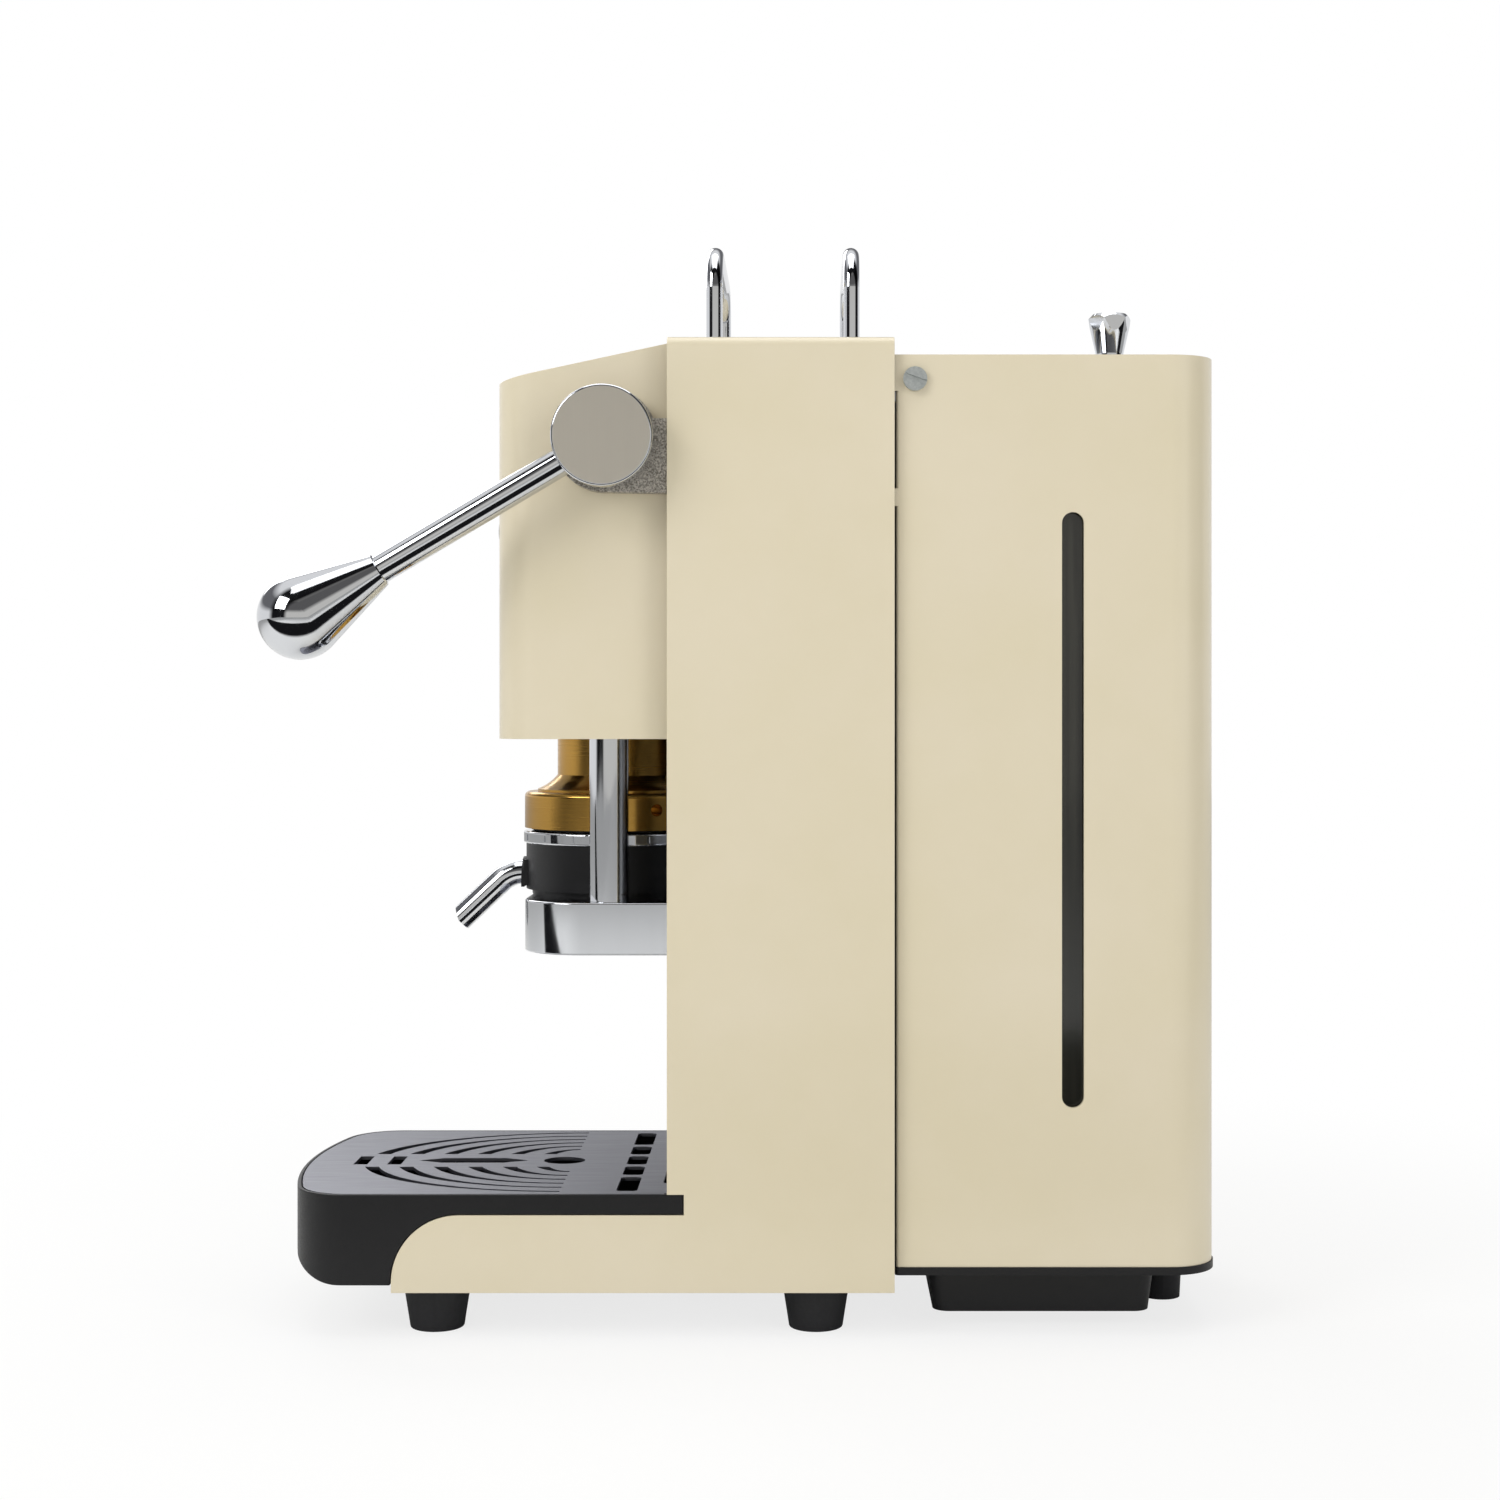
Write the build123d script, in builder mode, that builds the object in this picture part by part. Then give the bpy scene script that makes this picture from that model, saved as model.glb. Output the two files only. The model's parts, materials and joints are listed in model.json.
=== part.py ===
from build123d import *

import os
from math import acos, atan, atan2, cos, degrees, pi, radians, sin, sqrt

# Espresso pod machine: a lever presses a gold head onto a pod lying on a black filter cup.
# Millimetres. X runs across the machine with the lever on +X, the front is at -Y and the
# bench is the plane Z = 0. X = 0 is the middle of the body.

os.makedirs("parts", exist_ok=True)

# General fits
overrun = 5.0
seat_gap = 0.05
running_gap = 0.05
body_gap = 0.3
edge_break = 0.6

# Body of folded sheet steel
body_width = 112.0
sheet = 1.5
bend_radius = 3.0
column_front = -24.0
column_rear = 47.0
column_top = 312.8
base_front = -110.0
base_bottom = 14.5
base_top = 38.7
base_nose_radius = 21.0
front_wall_y = -9.0

half_body = body_width / 2
inner_half = half_body - sheet
pan_top = base_bottom + sheet
roof_underside = column_top - sheet

# Drip tray and its grid
tray_top = 45.1
tray_front = -147.0
tray_front_sag = 9.0
tray_corner = 18.0
tray_rear = -19.0
tray_nose_bottom = 16.8
tray_nose_rounding = 20.0
tray_wall = 2.4
tray_rim = 1.2
tray_side_gap = 0.6
tray_pan_gap = 1.5
pan_flange_height = 8.0
grid_thickness = 1.2
grid_side_gap = 1.0
notch_wall = 0.3

# Slots of the grid: nested half ellipses about one centre
slit_centre_y = -58.0
slit_count = 6
slit_length = 70.0
slit_last_length = 14.0
slit_edge = 4.8
slit_half_width = half_body - slit_edge
slit_last_half_width = 19.7
slit_front_width = 4.7
slit_side_width = 1.4
slit_bridge = 11.0
centre_slot_half = 7.0
centre_slot_front_y = -128.7
centre_slot_second_y = -117.5
centre_slot_depth = 4.6
lens_slot_y = -91.8
lens_slot_length = 36.8
lens_slot_width = 8.0
lens_hole_y = -61.5
lens_hole_length = 13.8
lens_hole_width = 12.0
rear_slot_y = -37.0
rear_slot_depth = 6.6
rear_slot_outer = 22.0
rear_slot_inner = 14.0
rear_slot_rib = 3.5
rear_slot_rounding = 1.5
finger_slot_x = 25.5
finger_slot_y = -23.9
finger_slot_width = 25.0
finger_slot_depth = 4.6

# Feet
foot_top_radius = 10.8
foot_bottom_radius = 8.5
foot_x = 39.0
foot_front_y = -98.0
foot_rear_y = 22.5
foot_recess_radius = 4.6
foot_recess_depth = 6.0
foot_screw_radius = 2.0
foot_screw_head = 3.6
foot_screw_head_height = 2.4
foot_screw_reach = 1.0

# Hood over the lever works
hood_recess = 7.0
hood_half = half_body - hood_recess
hood_front = -78.5
hood_corner = 12.0
hood_bottom = 187.0
hood_roof_step = 1.3
hood_roof_slope = 0.215
hood_rear = front_wall_y - sheet

# Chassis upright inside the column
frame_plate = 4.0
frame_flange_depth = 21.0
frame_top_gap = 2.3
front_wall_thickness = sheet
frame_front = front_wall_y
frame_window_half = 12.0
frame_window_low = 236.0
frame_window_high = 254.0

# Cup rails on the roof
rail_radius = 2.6
rail_half_span = 41.0
rail_height = 32.2
rail_bend = 12.0
rail_front_y = -9.7
rail_rear_y = 33.8
rail_nut_radius = 5.0
rail_nut_height = 4.0

# Lever works: pivot, arms, shaft, hub disc, rod and knob
pivot_y = -43.5
pivot_z = 280.8
lever_angle = 30.8
lever_travel = 80.0
lever_clearance = 5.0
lever_x = half_body + lever_clearance
shaft_radius = 6.0
arm_thickness = 5.0
arm_side_gap = 0.2
arm_inner = inner_half - arm_thickness - arm_side_gap
arm_boss_radius = 16.5
arm_top_rise = 6.5
arm_rear = 14.0
arm_root_drop = 17.6
arm_screw_radius = 2.5
arm_screw_head = 3.9
arm_screw_first_y = 0.0
arm_screw_second_y = 9.0
bush_radius = 8.0
bush_length = 12.0
disc_radius = 15.8
disc_thickness = 12.0
disc_chamfer = 1.0
disc_clearance = 0.7
shaft_grip = 8.0
cap_radius = 10.0
cap_thickness = 5.0
cap_grip = 3.0
rod_radius = 4.5
rod_seat = 9.0
rod_in_knob = 12.0
knob_neck_at = 80.2
knob_neck_radius = 5.3
knob_ball_radius = 13.2
knob_ball_at = 109.0

# Cam, roller and crosshead
lift = 14.0
cam_small = 9.0
cam_hub = 8.2
cam_width = 12.0
cam_gap = 0.3
cam_lead_angle = 14.0
cam_points = 13
roller_radius = 7.0
roller_width = 12.2
roller_pin_radius = 3.0
roller_pin_head = 4.5
roller_pin_head_thickness = 1.5
ear_thickness = 5.0
ear_side_gap = 0.4
ear_half_depth = 6.5
crosshead_bottom = 230.0
crosshead_height = 12.0
crosshead_half = 46.0
crosshead_half_depth = 11.0

# Guide columns, plates and return springs
guide_x = 38.0
guide_radius = 6.25
guide_seat = 8.0
guide_plate_bottom = 190.0
guide_plate_thickness = 5.0
bridge_bottom = 258.0
bridge_thickness = 7.0
bridge_front = -64.0
bridge_half = 46.0
bridge_window_half = 21.0
bridge_window_half_depth = 17.0
nut_across_flats = 17.0
nut_height = 6.0
spring_wire = 2.0
spring_bore = 1.2
spring_turns = 6
spring_end_gap = 0.2

# Pressing head, gold anodised
neck_radius = 20.25
neck_bottom = 174.5
shoulder_radius = 26.8
shoulder_z = 169.8
cone_hollow_share = 0.43
flange_radius = 31.1
flange_top = 169.0
flange_bottom = 157.0
flange_rounding = 1.6
neck_bore_radius = 8.0
neck_bore_depth = 30.0
head_screw_x = 16.0
head_screw_radius = 2.5
head_screw_head = 3.8
head_screw_head_height = 4.0
head_screw_depth = 12.0
tommy_radius = 2.0
tommy_depth = 6.0
tommy_angle = 28.0
gasket_outer = 29.0
gasket_inner = 24.5
gasket_groove = 2.5
gasket_proud = 0.7
shower_radius = 22.0
shower_thickness = 1.0
shower_hole = 0.7
shower_rings = 3
shower_ring_step = 5.5
inlet_radius = 3.0
inlet_bore = 1.6
inlet_z = 203.0
inlet_y = -17.0
inlet_reach = 6.0

# Lower group: chrome base, black filter cup, chrome pod ring and spout
group_half = 46.0
group_front = -71.5
group_bottom = 118.6
group_top = 135.2
group_corner = 20.0
cup_radius = 30.6
cup_top = 152.0
pod_radius = 22.6
pod_well_depth = 5.0
funnel_depth = 4.0
cup_foot_height = 1.6
cup_foot_inset = 2.0
ring_radius = 31.4
ring_top = 156.0
ring_band = 1.0
ring_clip_count = 16
ring_clip_width = 1.0
ring_clip_depth = 0.4
filter_plate = 0.8
filter_hole = 0.7
spout_radius = 4.1
spout_bore = 3.0
spout_z = 141.8
spout_bend_radius = 10.9
spout_angle = 43.5
spout_run = 18.8
spout_bend_y = -75.3
spout_seat = 5.0
spout_cut_angle = 24.0
boss_half = 8.5
boss_low = 137.4
boss_high = 147.0
boss_proud = 1.0

# Brew button in the hood's front
button_z = 255.5
button_radius = 8.7
button_sleeve = 10.4
button_bore = 9.0
button_flange = 13.0
button_flange_height = 1.2
button_flange_rounding = 0.8
button_proud = 5.0
button_dome = 2.6
button_skirt = 3.0
button_stem_radius = 2.5
button_stem_bore = 2.8
button_switch_front = -72.3
button_switch_rear = -66.0
button_recess_radius = 5.6
button_recess_depth = 4.0
button_stem_end = -71.8
button_stem_hole_depth = 4.5

# Tank housing, tank, lid and base behind the column
housing_recess = 3.0
housing_half = half_body - housing_recess
housing_front = 47.6
housing_rear = 148.6
housing_top = 307.4
housing_bottom = 21.9
housing_corner = 15.0
housing_front_corner = 1.0
housing_front_wall_top = 290.0
tab_reach = 0.5
tab_upper_low = 296.0
tab_lower_low = 260.0
tab_lower_high = 265.5
window_y = 102.9
window_width = 6.9
window_low = 71.7
window_high = 258.1
tank_screw_y = 53.5
tank_screw_z = 299.7
tank_screw_head = 3.75
tank_screw_head_height = 1.8
tank_screw_radius = 2.0
tank_screw_slot = 1.3
tank_screw_slot_depth = 0.8
tank_screw_reach = 4.0
tank_screw_turn = -20.0
bracket_depth = 11.0
bracket_low = 293.0
bracket_half_gap = 0.1
flange_low = 19.4
flange_lip = 0.4
tub_front = 58.2
tub_rear = 130.3
tub_half = 42.0
tub_low = 4.9
tub_corner = 5.0
tub_draft = 1.6
tub_wall = 2.0
rear_foot_radius = 7.4
rear_foot_tip = 6.4
rear_foot_y = 138.0
tank_side_gap = 1.5
tank_front = 59.5
tank_rear_gap = 1.5
tank_low = 24.6
tank_top = 305.0
tank_wall = 2.0
tank_corner = 12.0
valve_y = 78.0
valve_radius = 5.0
valve_bore = 3.0
valve_drop = 9.0
socket_wall = 2.0
lid_thickness = 1.9
lid_edge_gap = 0.4
lid_skirt = 6.0
lid_skirt_gap = 3.0
lid_corner = 24.0
lid_skirt_wall = 1.6
lid_seat = 305.3
lid_knob_y = 121.0
lid_knob_stem = 4.0
lid_knob_neck_z = 315.0
lid_knob_neck = 4.6
lid_knob_wide_z = 326.6
lid_knob_wide = 7.25
lid_knob_flat = 6.3
lid_knob_top = 328.3
lid_knob_top_radius = 5.6
lid_knob_facets = 6
lid_knob_turn = -21.0

# Water works inside the column
boiler_y = 21.0
boiler_radius = 20.0
boiler_low = 196.0
boiler_high = 274.0
boiler_rounding = 4.0
boiler_boss = 6.0
boiler_port_z = 248.0
boiler_boss_gap = 1.0
boiler_foot_inset = 14.0
boiler_foot_half = 8.0
boiler_nipple = 7.0
thermostat_radius = 8.0
thermostat_height = 6.0
pipe_radius = 3.0
pipe_bore = 2.0
pipe_bend = 8.0
head_hose_radius = 3.0
head_hose_top = 240.0
pump_x = 26.0
pump_y = 22.0
pump_half_x = 16.0
pump_half_y = 17.0
pump_low = 66.0
pump_high = 116.0
pump_core_radius = 9.0
pump_core_low = 56.0
pump_core_high = 146.0
pump_rounding = 4.0
pump_nipple_length = 6.0
pump_bracket_wall = 2.0
hose_radius = 3.5
hose_bore = 2.5
hose_bend = 5.0
intake_y = 54.6
intake_z = 40.0
hose_level = 13.0
nipple_length = 4.0
nipple_radius = 2.45
tank_shelf = 3.5
feed_turn_z = 172.0
board_gap = 10.5
board_x = board_gap - inner_half
board_thickness = 1.6
board_front = 18.0
board_rear = 43.0
board_low = 60.0
board_high = 140.0
board_post_radius = 3.0
board_post_inset = 4.0
board_relay = 15.0
board_relay_height = 12.0

# Power switch and cable gland in the left side
switch_y = 30.0
switch_z = 175.0
switch_half_width = 6.5
switch_half_height = 10.5
switch_flange = 1.6
switch_flange_proud = 1.5
switch_depth = 18.0
switch_wall = 1.0
rocker_half_width = 5.0
rocker_half_height = 8.6
rocker_pivot_inset = 3.0
rocker_pivot_x = rocker_pivot_inset - half_body
rocker_proud = 3.2
rocker_face_x = -half_body - rocker_proud
rocker_crown = 0.9
rocker_pin_radius = 1.2
rocker_end_gap = 1.0
gland_y = 33.0
gland_z = 27.0
gland_radius = 6.0
gland_bore = 3.6
gland_flange = 9.0
gland_flange_thickness = 2.5
gland_nose = 7.0

# Sizes that follow from those above
closed_distance = cam_small + roller_radius + cam_gap + lift
cam_rate = lift / radians(lever_travel)
frame_half = arm_inner
frame_top = roof_underside - rail_nut_height - frame_top_gap
roller_z = pivot_z - closed_distance
crosshead_top = crosshead_bottom + crosshead_height
guide_plate_top = guide_plate_bottom + guide_plate_thickness
bridge_top = bridge_bottom + bridge_thickness
arm_outer = arm_inner + arm_thickness
disc_inner_x = arm_outer + disc_clearance
quarter_turn = 90.0
lever_dir = (0, -cos(radians(lever_angle)), -sin(radians(lever_angle)))
tray_box_half = inner_half - sheet - tray_side_gap
print("cam rate, mm per radian:", round(cam_rate, 4))


def roof_height(y):
    """Height of the hood's sloping roof above a place on Y."""
    return column_top - hood_roof_step - hood_roof_slope * (column_front - y)


def round_bar(x0, x1, y, z, radius):
    """A bar lying along X between two places."""
    with BuildPart() as bar:
        with BuildSketch(Plane.YZ.offset(x0)):
            with Locations((y, z)):
                Circle(radius)
        extrude(amount=x1 - x0)
    return bar.part


def plan_box(x0, x1, y0, y1, z0, z1):
    """A plain block between two corners."""
    with BuildPart() as block:
        with BuildSketch(Plane.XY.offset(z0)):
            with Locations(((x0 + x1) / 2, (y0 + y1) / 2)):
                Rectangle(x1 - x0, y1 - y0)
        extrude(amount=z1 - z0)
    return block.part


arm_screw_places = [
    (arm_screw_first_y, pivot_z - arm_top_rise),
    (arm_screw_second_y, pivot_z - arm_top_rise),
]

# Main shell: both sides and the roof folded from one sheet

with BuildPart() as main_shell:
    with BuildSketch(Plane.YZ):
        with BuildLine():
            Line((base_front, base_bottom), (base_front, base_top - base_nose_radius))
            JernArc(
                start=(base_front, base_top - base_nose_radius),
                tangent=(0, 1),
                radius=base_nose_radius,
                arc_size=-quarter_turn,
            )
            Polyline(
                (base_front + base_nose_radius, base_top),
                (tray_rear + notch_wall, base_top),
                (tray_rear + notch_wall, tray_top),
                (column_front, tray_top),
                (column_front, column_top),
                (column_rear, column_top),
                (column_rear, base_bottom),
                (base_front, base_bottom),
            )
        make_face()
    extrude(amount=half_body, both=True)
    roof_edges = main_shell.edges().filter_by(Axis.Y).group_by(Axis.Z)[-1]
    fillet(roof_edges, radius=bend_radius)
    with BuildSketch(Plane.XZ.offset(-column_rear - overrun)) as hollow:
        Rectangle(2 * inner_half, roof_underside, align=(Align.CENTER, Align.MIN))
        fillet(hollow.vertices().group_by(Axis.Y)[-1], radius=bend_radius - sheet)
    extrude(amount=column_rear - base_front + 2 * overrun, mode=Mode.SUBTRACT)
    with Locations(Plane.XY.offset(column_top)):
        with Locations(
            (rail_half_span, rail_front_y),
            (-rail_half_span, rail_front_y),
            (rail_half_span, rail_rear_y),
            (-rail_half_span, rail_rear_y),
        ):
            Hole(rail_radius + running_gap, depth=sheet + overrun)
    with BuildSketch(Plane.YZ.offset(-half_body - overrun)):
        with Locations((switch_y, switch_z)):
            Rectangle(2 * switch_half_width, 2 * switch_half_height)
        with Locations((gland_y, gland_z)):
            Circle(gland_radius + seat_gap)
    extrude(amount=sheet + 2 * overrun, mode=Mode.SUBTRACT)
main_shell.part.label = "main_shell"
export_step(main_shell.part, "parts/main_shell.step")

# Base pan closing the underside, folded up along both sides
foot_places = [
    (side * foot_x, y) for y in (foot_front_y, foot_rear_y) for side in (-1, 1)
]
pan_front = base_front + 2 * sheet + tray_side_gap
with BuildPart() as base_plate:
    add(
        plan_box(
            -inner_half + seat_gap,
            inner_half - seat_gap,
            pan_front,
            column_rear - sheet - seat_gap,
            base_bottom,
            pan_top,
        )
    )
    for side in (-1, 1):
        outer = side * (inner_half - seat_gap)
        inner = outer - side * sheet
        add(
            plan_box(
                min(inner, outer),
                max(inner, outer),
                base_front + base_nose_radius / 2,
                hood_rear - seat_gap,
                pan_top,
                pan_top + pan_flange_height,
            )
        )
    with Locations(Plane.XY.offset(pan_top)):
        with Locations(*foot_places):
            Hole(foot_screw_radius + running_gap, depth=sheet + overrun)
base_plate.part.label = "base_plate"
export_step(base_plate.part, "parts/base_plate.step")

# Front wall of the column, set back behind the group
with BuildPart() as front_panel:
    with BuildSketch(Plane.XZ.offset(-front_wall_y)):
        with Locations((0, (pan_top + frame_top) / 2)):
            Rectangle(2 * (inner_half - seat_gap), frame_top - pan_top)
        with Locations((0, (hood_bottom + frame_top) / 2)):
            Rectangle(
                2 * (hood_half - 2 * sheet),
                frame_top - hood_bottom - 4 * sheet,
                mode=Mode.SUBTRACT,
            )
        with Locations((0, (group_bottom + group_top) / 2)):
            Rectangle(
                2 * (group_half + body_gap), group_top - group_bottom + 2 * body_gap,
                mode=Mode.SUBTRACT,
            )
        for side in (-1, 1):
            slot_high = pivot_z + arm_top_rise + body_gap
            slot_low = pivot_z - arm_root_drop - body_gap
            slot_width = inner_half - arm_inner + body_gap
            with Locations(
                (side * (inner_half - slot_width / 2), (slot_high + slot_low) / 2)
            ):
                Rectangle(slot_width, slot_high - slot_low, mode=Mode.SUBTRACT)
    extrude(amount=front_wall_thickness)
front_panel.part.label = "front_panel"
export_step(front_panel.part, "parts/front_panel.step")

# Rear wall of the column
with BuildPart() as rear_panel:
    with BuildSketch(Plane.XZ.offset(-column_rear)) as wall_outline:
        with Locations((0, (pan_top + roof_underside) / 2)):
            Rectangle(
                2 * (inner_half - seat_gap), roof_underside - pan_top - 2 * seat_gap
            )
        fillet(wall_outline.vertices().group_by(Axis.Y)[-1], radius=bend_radius - sheet)
        with Locations((0, intake_z)):
            Circle(hose_radius + body_gap, mode=Mode.SUBTRACT)
        with Locations((0, base_bottom)):
            Rectangle(0.5 * foot_x, 2 * sheet, mode=Mode.SUBTRACT)
    extrude(amount=sheet)
rear_panel.part.label = "rear_panel"
export_step(rear_panel.part, "parts/rear_panel.step")

# Two steel ears welded to the rear wall, which the tank housing is screwed to
ear_outer = housing_half - sheet - bracket_half_gap
with BuildPart() as housing_brackets:
    for side in (-1, 1):
        outer = side * ear_outer
        inner = outer - side * sheet
        add(
            plan_box(
                min(inner, outer),
                max(inner, outer),
                column_rear,
                column_rear + bracket_depth,
                bracket_low,
                tank_top,
            )
        )
    with BuildSketch(Plane.YZ.offset(-half_body)):
        with Locations((tank_screw_y, tank_screw_z)):
            Circle(tank_screw_radius + running_gap)
    extrude(amount=body_width, mode=Mode.SUBTRACT)
housing_brackets.part.label = "housing_brackets"
export_step(housing_brackets.part, "parts/housing_brackets.step")

# Feet under the base, and one under the tank
with BuildPart() as feet:
    with BuildSketch(Plane.XZ) as foot_profile:
        with BuildLine():
            Polyline(
                (foot_recess_radius, 0),
                (foot_bottom_radius, 0),
                (foot_top_radius, base_bottom),
                (foot_screw_radius + running_gap, base_bottom),
                (foot_screw_radius + running_gap, foot_recess_depth),
                (foot_recess_radius, foot_recess_depth),
                (foot_recess_radius, 0),
            )
        make_face()
        fillet(foot_profile.vertices().sort_by(Axis.X)[-2:], radius=edge_break)
    revolve(axis=Axis.Z)
one_foot = feet.part
with BuildPart() as feet:
    for x, y in foot_places:
        add(Pos(x, y, 0) * one_foot)
    with BuildSketch(Plane.XY):
        with Locations((0, rear_foot_y)):
            Circle(rear_foot_tip)
    with BuildSketch(Plane.XY.offset(flange_low)):
        with Locations((0, rear_foot_y)):
            Circle(rear_foot_radius)
    loft()
feet.part.label = "feet"
export_step(feet.part, "parts/feet.step")

with BuildPart() as foot_screws:
    with Locations(*[(x, y, foot_recess_depth) for x, y in foot_places]):
        Cylinder(
            foot_screw_head,
            foot_screw_head_height,
            align=(Align.CENTER, Align.CENTER, Align.MAX),
        )
        Cylinder(
            foot_screw_radius,
            pan_top + foot_screw_reach - foot_recess_depth,
            align=(Align.CENTER, Align.CENTER, Align.MIN),
        )
foot_screws.part.label = "foot_screws"
export_step(foot_screws.part, "parts/foot_screws.step")


# Hood: a folded cover with rounded front corners and a roof that falls to the front

def hood_block(wall, low, high_drop):
    """The hood's volume, drawn in by a wall at the front, sides and roof."""
    rear = hood_rear + (overrun if wall else 0)
    front = hood_front + wall
    with BuildPart() as block:
        with BuildSketch(Plane.XY.offset(low)) as plan:
            with Locations((0, (front + rear) / 2)):
                Rectangle(2 * (hood_half - wall), rear - front)
            fillet(plan.vertices().group_by(Axis.Y)[0], radius=hood_corner - wall)
        extrude(amount=column_top - low + overrun)
        step_y = column_front - seat_gap - high_drop
        under = roof_underside - seat_gap - high_drop
        with BuildSketch(Plane.YZ):
            with BuildLine():
                Polyline(
                    (front - overrun, roof_height(front - overrun) - high_drop),
                    (step_y, roof_height(step_y) - high_drop),
                    (step_y, under),
                    (rear + overrun, under),
                    (rear + overrun, column_top + 2 * overrun),
                    (front - overrun, column_top + 2 * overrun),
                    (front - overrun, roof_height(front - overrun) - high_drop),
                )
            make_face()
        extrude(amount=half_body, both=True, mode=Mode.SUBTRACT)
    return block.part


with BuildPart() as hood_shell:
    add(hood_block(0, hood_bottom, 0))
    add(hood_block(sheet, hood_bottom - overrun, sheet), mode=Mode.SUBTRACT)
    with BuildSketch(Plane.XZ.offset(-hood_front - overrun)):
        with Locations((0, button_z)):
            Circle(button_sleeve + seat_gap)
    extrude(amount=2 * overrun, both=True, mode=Mode.SUBTRACT)
    add(
        round_bar(-half_body, half_body, pivot_y, pivot_z, bush_radius + body_gap),
        mode=Mode.SUBTRACT,
    )
    add(
        plan_box(
            -half_body,
            half_body,
            rail_front_y - rail_nut_radius - sheet,
            column_rear,
            frame_top,
            column_top + overrun,
        ),
        mode=Mode.SUBTRACT,
    )
hood_shell.part.label = "hood_shell"
export_step(hood_shell.part, "parts/hood_shell.step")

# Floor of the hood, open for the columns and for the head's shoulder at the top of its travel
floor_front = hood_front + sheet + seat_gap
floor_half = hood_half - sheet - seat_gap
with BuildPart() as hood_floor:
    with BuildSketch(Plane.XY.offset(hood_bottom)) as floor_plan:
        with Locations((0, (floor_front + hood_rear) / 2)):
            Rectangle(2 * floor_half, hood_rear - floor_front)
        fillet(floor_plan.vertices().group_by(Axis.Y)[0], radius=hood_corner - sheet)
        with Locations((0, pivot_y)):
            Circle(shoulder_radius + body_gap, mode=Mode.SUBTRACT)
        with Locations((guide_x, pivot_y), (-guide_x, pivot_y)):
            Circle(guide_radius + seat_gap, mode=Mode.SUBTRACT)
    extrude(amount=sheet)
hood_floor.part.label = "hood_floor"
export_step(hood_floor.part, "parts/hood_floor.step")

# Chassis upright: a channel standing on the base pan that carries the group and the arms
frame_rear = frame_front + frame_plate
with BuildPart() as group_frame:
    with BuildSketch(Plane.XY.offset(pan_top)):
        with Locations((0, (frame_front + frame_rear) / 2)):
            Rectangle(2 * frame_half, frame_plate)
        for side in (-1, 1):
            with Locations((side * (frame_half - frame_plate / 2), frame_rear + frame_flange_depth / 2)):
                Rectangle(frame_plate, frame_flange_depth)
    extrude(amount=frame_top - pan_top)
    with BuildSketch(Plane.XZ.offset(-frame_rear - overrun)):
        with Locations((0, (frame_window_low + frame_window_high) / 2)):
            Rectangle(2 * frame_window_half, frame_window_high - frame_window_low)
    extrude(amount=frame_plate + 2 * overrun, mode=Mode.SUBTRACT)
    with BuildSketch(Plane.YZ.offset(-half_body)):
        with Locations(*arm_screw_places):
            Circle(arm_screw_radius + running_gap)
    extrude(amount=body_width, mode=Mode.SUBTRACT)
group_frame.part.label = "group_frame"
export_step(group_frame.part, "parts/group_frame.step")


# Cup rails: two chrome hoops across the roof

def cup_rail(y):
    """One hoop whose legs pass through the roof."""
    top = column_top + rail_height - rail_radius
    foot = roof_underside - rail_nut_height - 1.0 * sheet
    with BuildPart() as rail:
        with BuildLine() as route:
            FilletPolyline(
                (-rail_half_span, y, foot),
                (-rail_half_span, y, top),
                (rail_half_span, y, top),
                (rail_half_span, y, foot),
                radius=rail_bend,
            )
        with BuildSketch(Plane(origin=(-rail_half_span, y, foot), z_dir=(0, 0, 1))):
            Circle(rail_radius)
        sweep(path=route.line)
    return rail.part


with BuildPart() as cup_rail_front:
    add(cup_rail(rail_front_y))
cup_rail_front.part.label = "cup_rail_front"
export_step(cup_rail_front.part, "parts/cup_rail_front.step")

with BuildPart() as cup_rail_rear:
    add(cup_rail(rail_rear_y))
cup_rail_rear.part.label = "cup_rail_rear"
export_step(cup_rail_rear.part, "parts/cup_rail_rear.step")

with BuildPart() as rail_nuts:
    with BuildSketch(Plane.XY.offset(roof_underside - rail_nut_height)):
        for y in (rail_front_y, rail_rear_y):
            for side in (-1, 1):
                with Locations((side * rail_half_span, y)):
                    RegularPolygon(rail_nut_radius, 6)
                    Circle(rail_radius, mode=Mode.SUBTRACT)
    extrude(amount=rail_nut_height)
rail_nuts.part.label = "rail_nuts"
export_step(rail_nuts.part, "parts/rail_nuts.step")


# Cast arms that carry the lever shaft, one each side of the hood

def cast_arm(side):
    """Side view: a round boss at the pivot running back into a deep root."""
    root_low = pivot_z - arm_root_drop
    top = pivot_z + arm_top_rise
    start = side * arm_inner
    root_reach = sqrt((arm_rear - pivot_y) ** 2 + arm_root_drop**2)
    tangent = atan2(-arm_root_drop, arm_rear - pivot_y) - acos(arm_boss_radius / root_reach)
    top_y = pivot_y + sqrt(arm_boss_radius**2 - arm_top_rise**2)
    low_end = (
        pivot_y + arm_boss_radius * cos(tangent),
        pivot_z + arm_boss_radius * sin(tangent),
    )
    with BuildPart() as arm:
        with BuildSketch(Plane.YZ.offset(min(start, start + side * arm_thickness))):
            with BuildLine():
                ThreePointArc((top_y, top), (pivot_y - arm_boss_radius, pivot_z), low_end)
                Polyline(low_end, (arm_rear, root_low), (arm_rear, top), (top_y, top))
            make_face()
            with Locations((pivot_y, pivot_z)):
                Circle(bush_radius, mode=Mode.SUBTRACT)
            with Locations(*arm_screw_places):
                Circle(arm_screw_head, mode=Mode.SUBTRACT)
        extrude(amount=arm_thickness)
    return arm.part


with BuildPart() as cast_arms:
    add(cast_arm(1))
    add(cast_arm(-1))
cast_arms.part.label = "cast_arms"
export_step(cast_arms.part, "parts/cast_arms.step")

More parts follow.
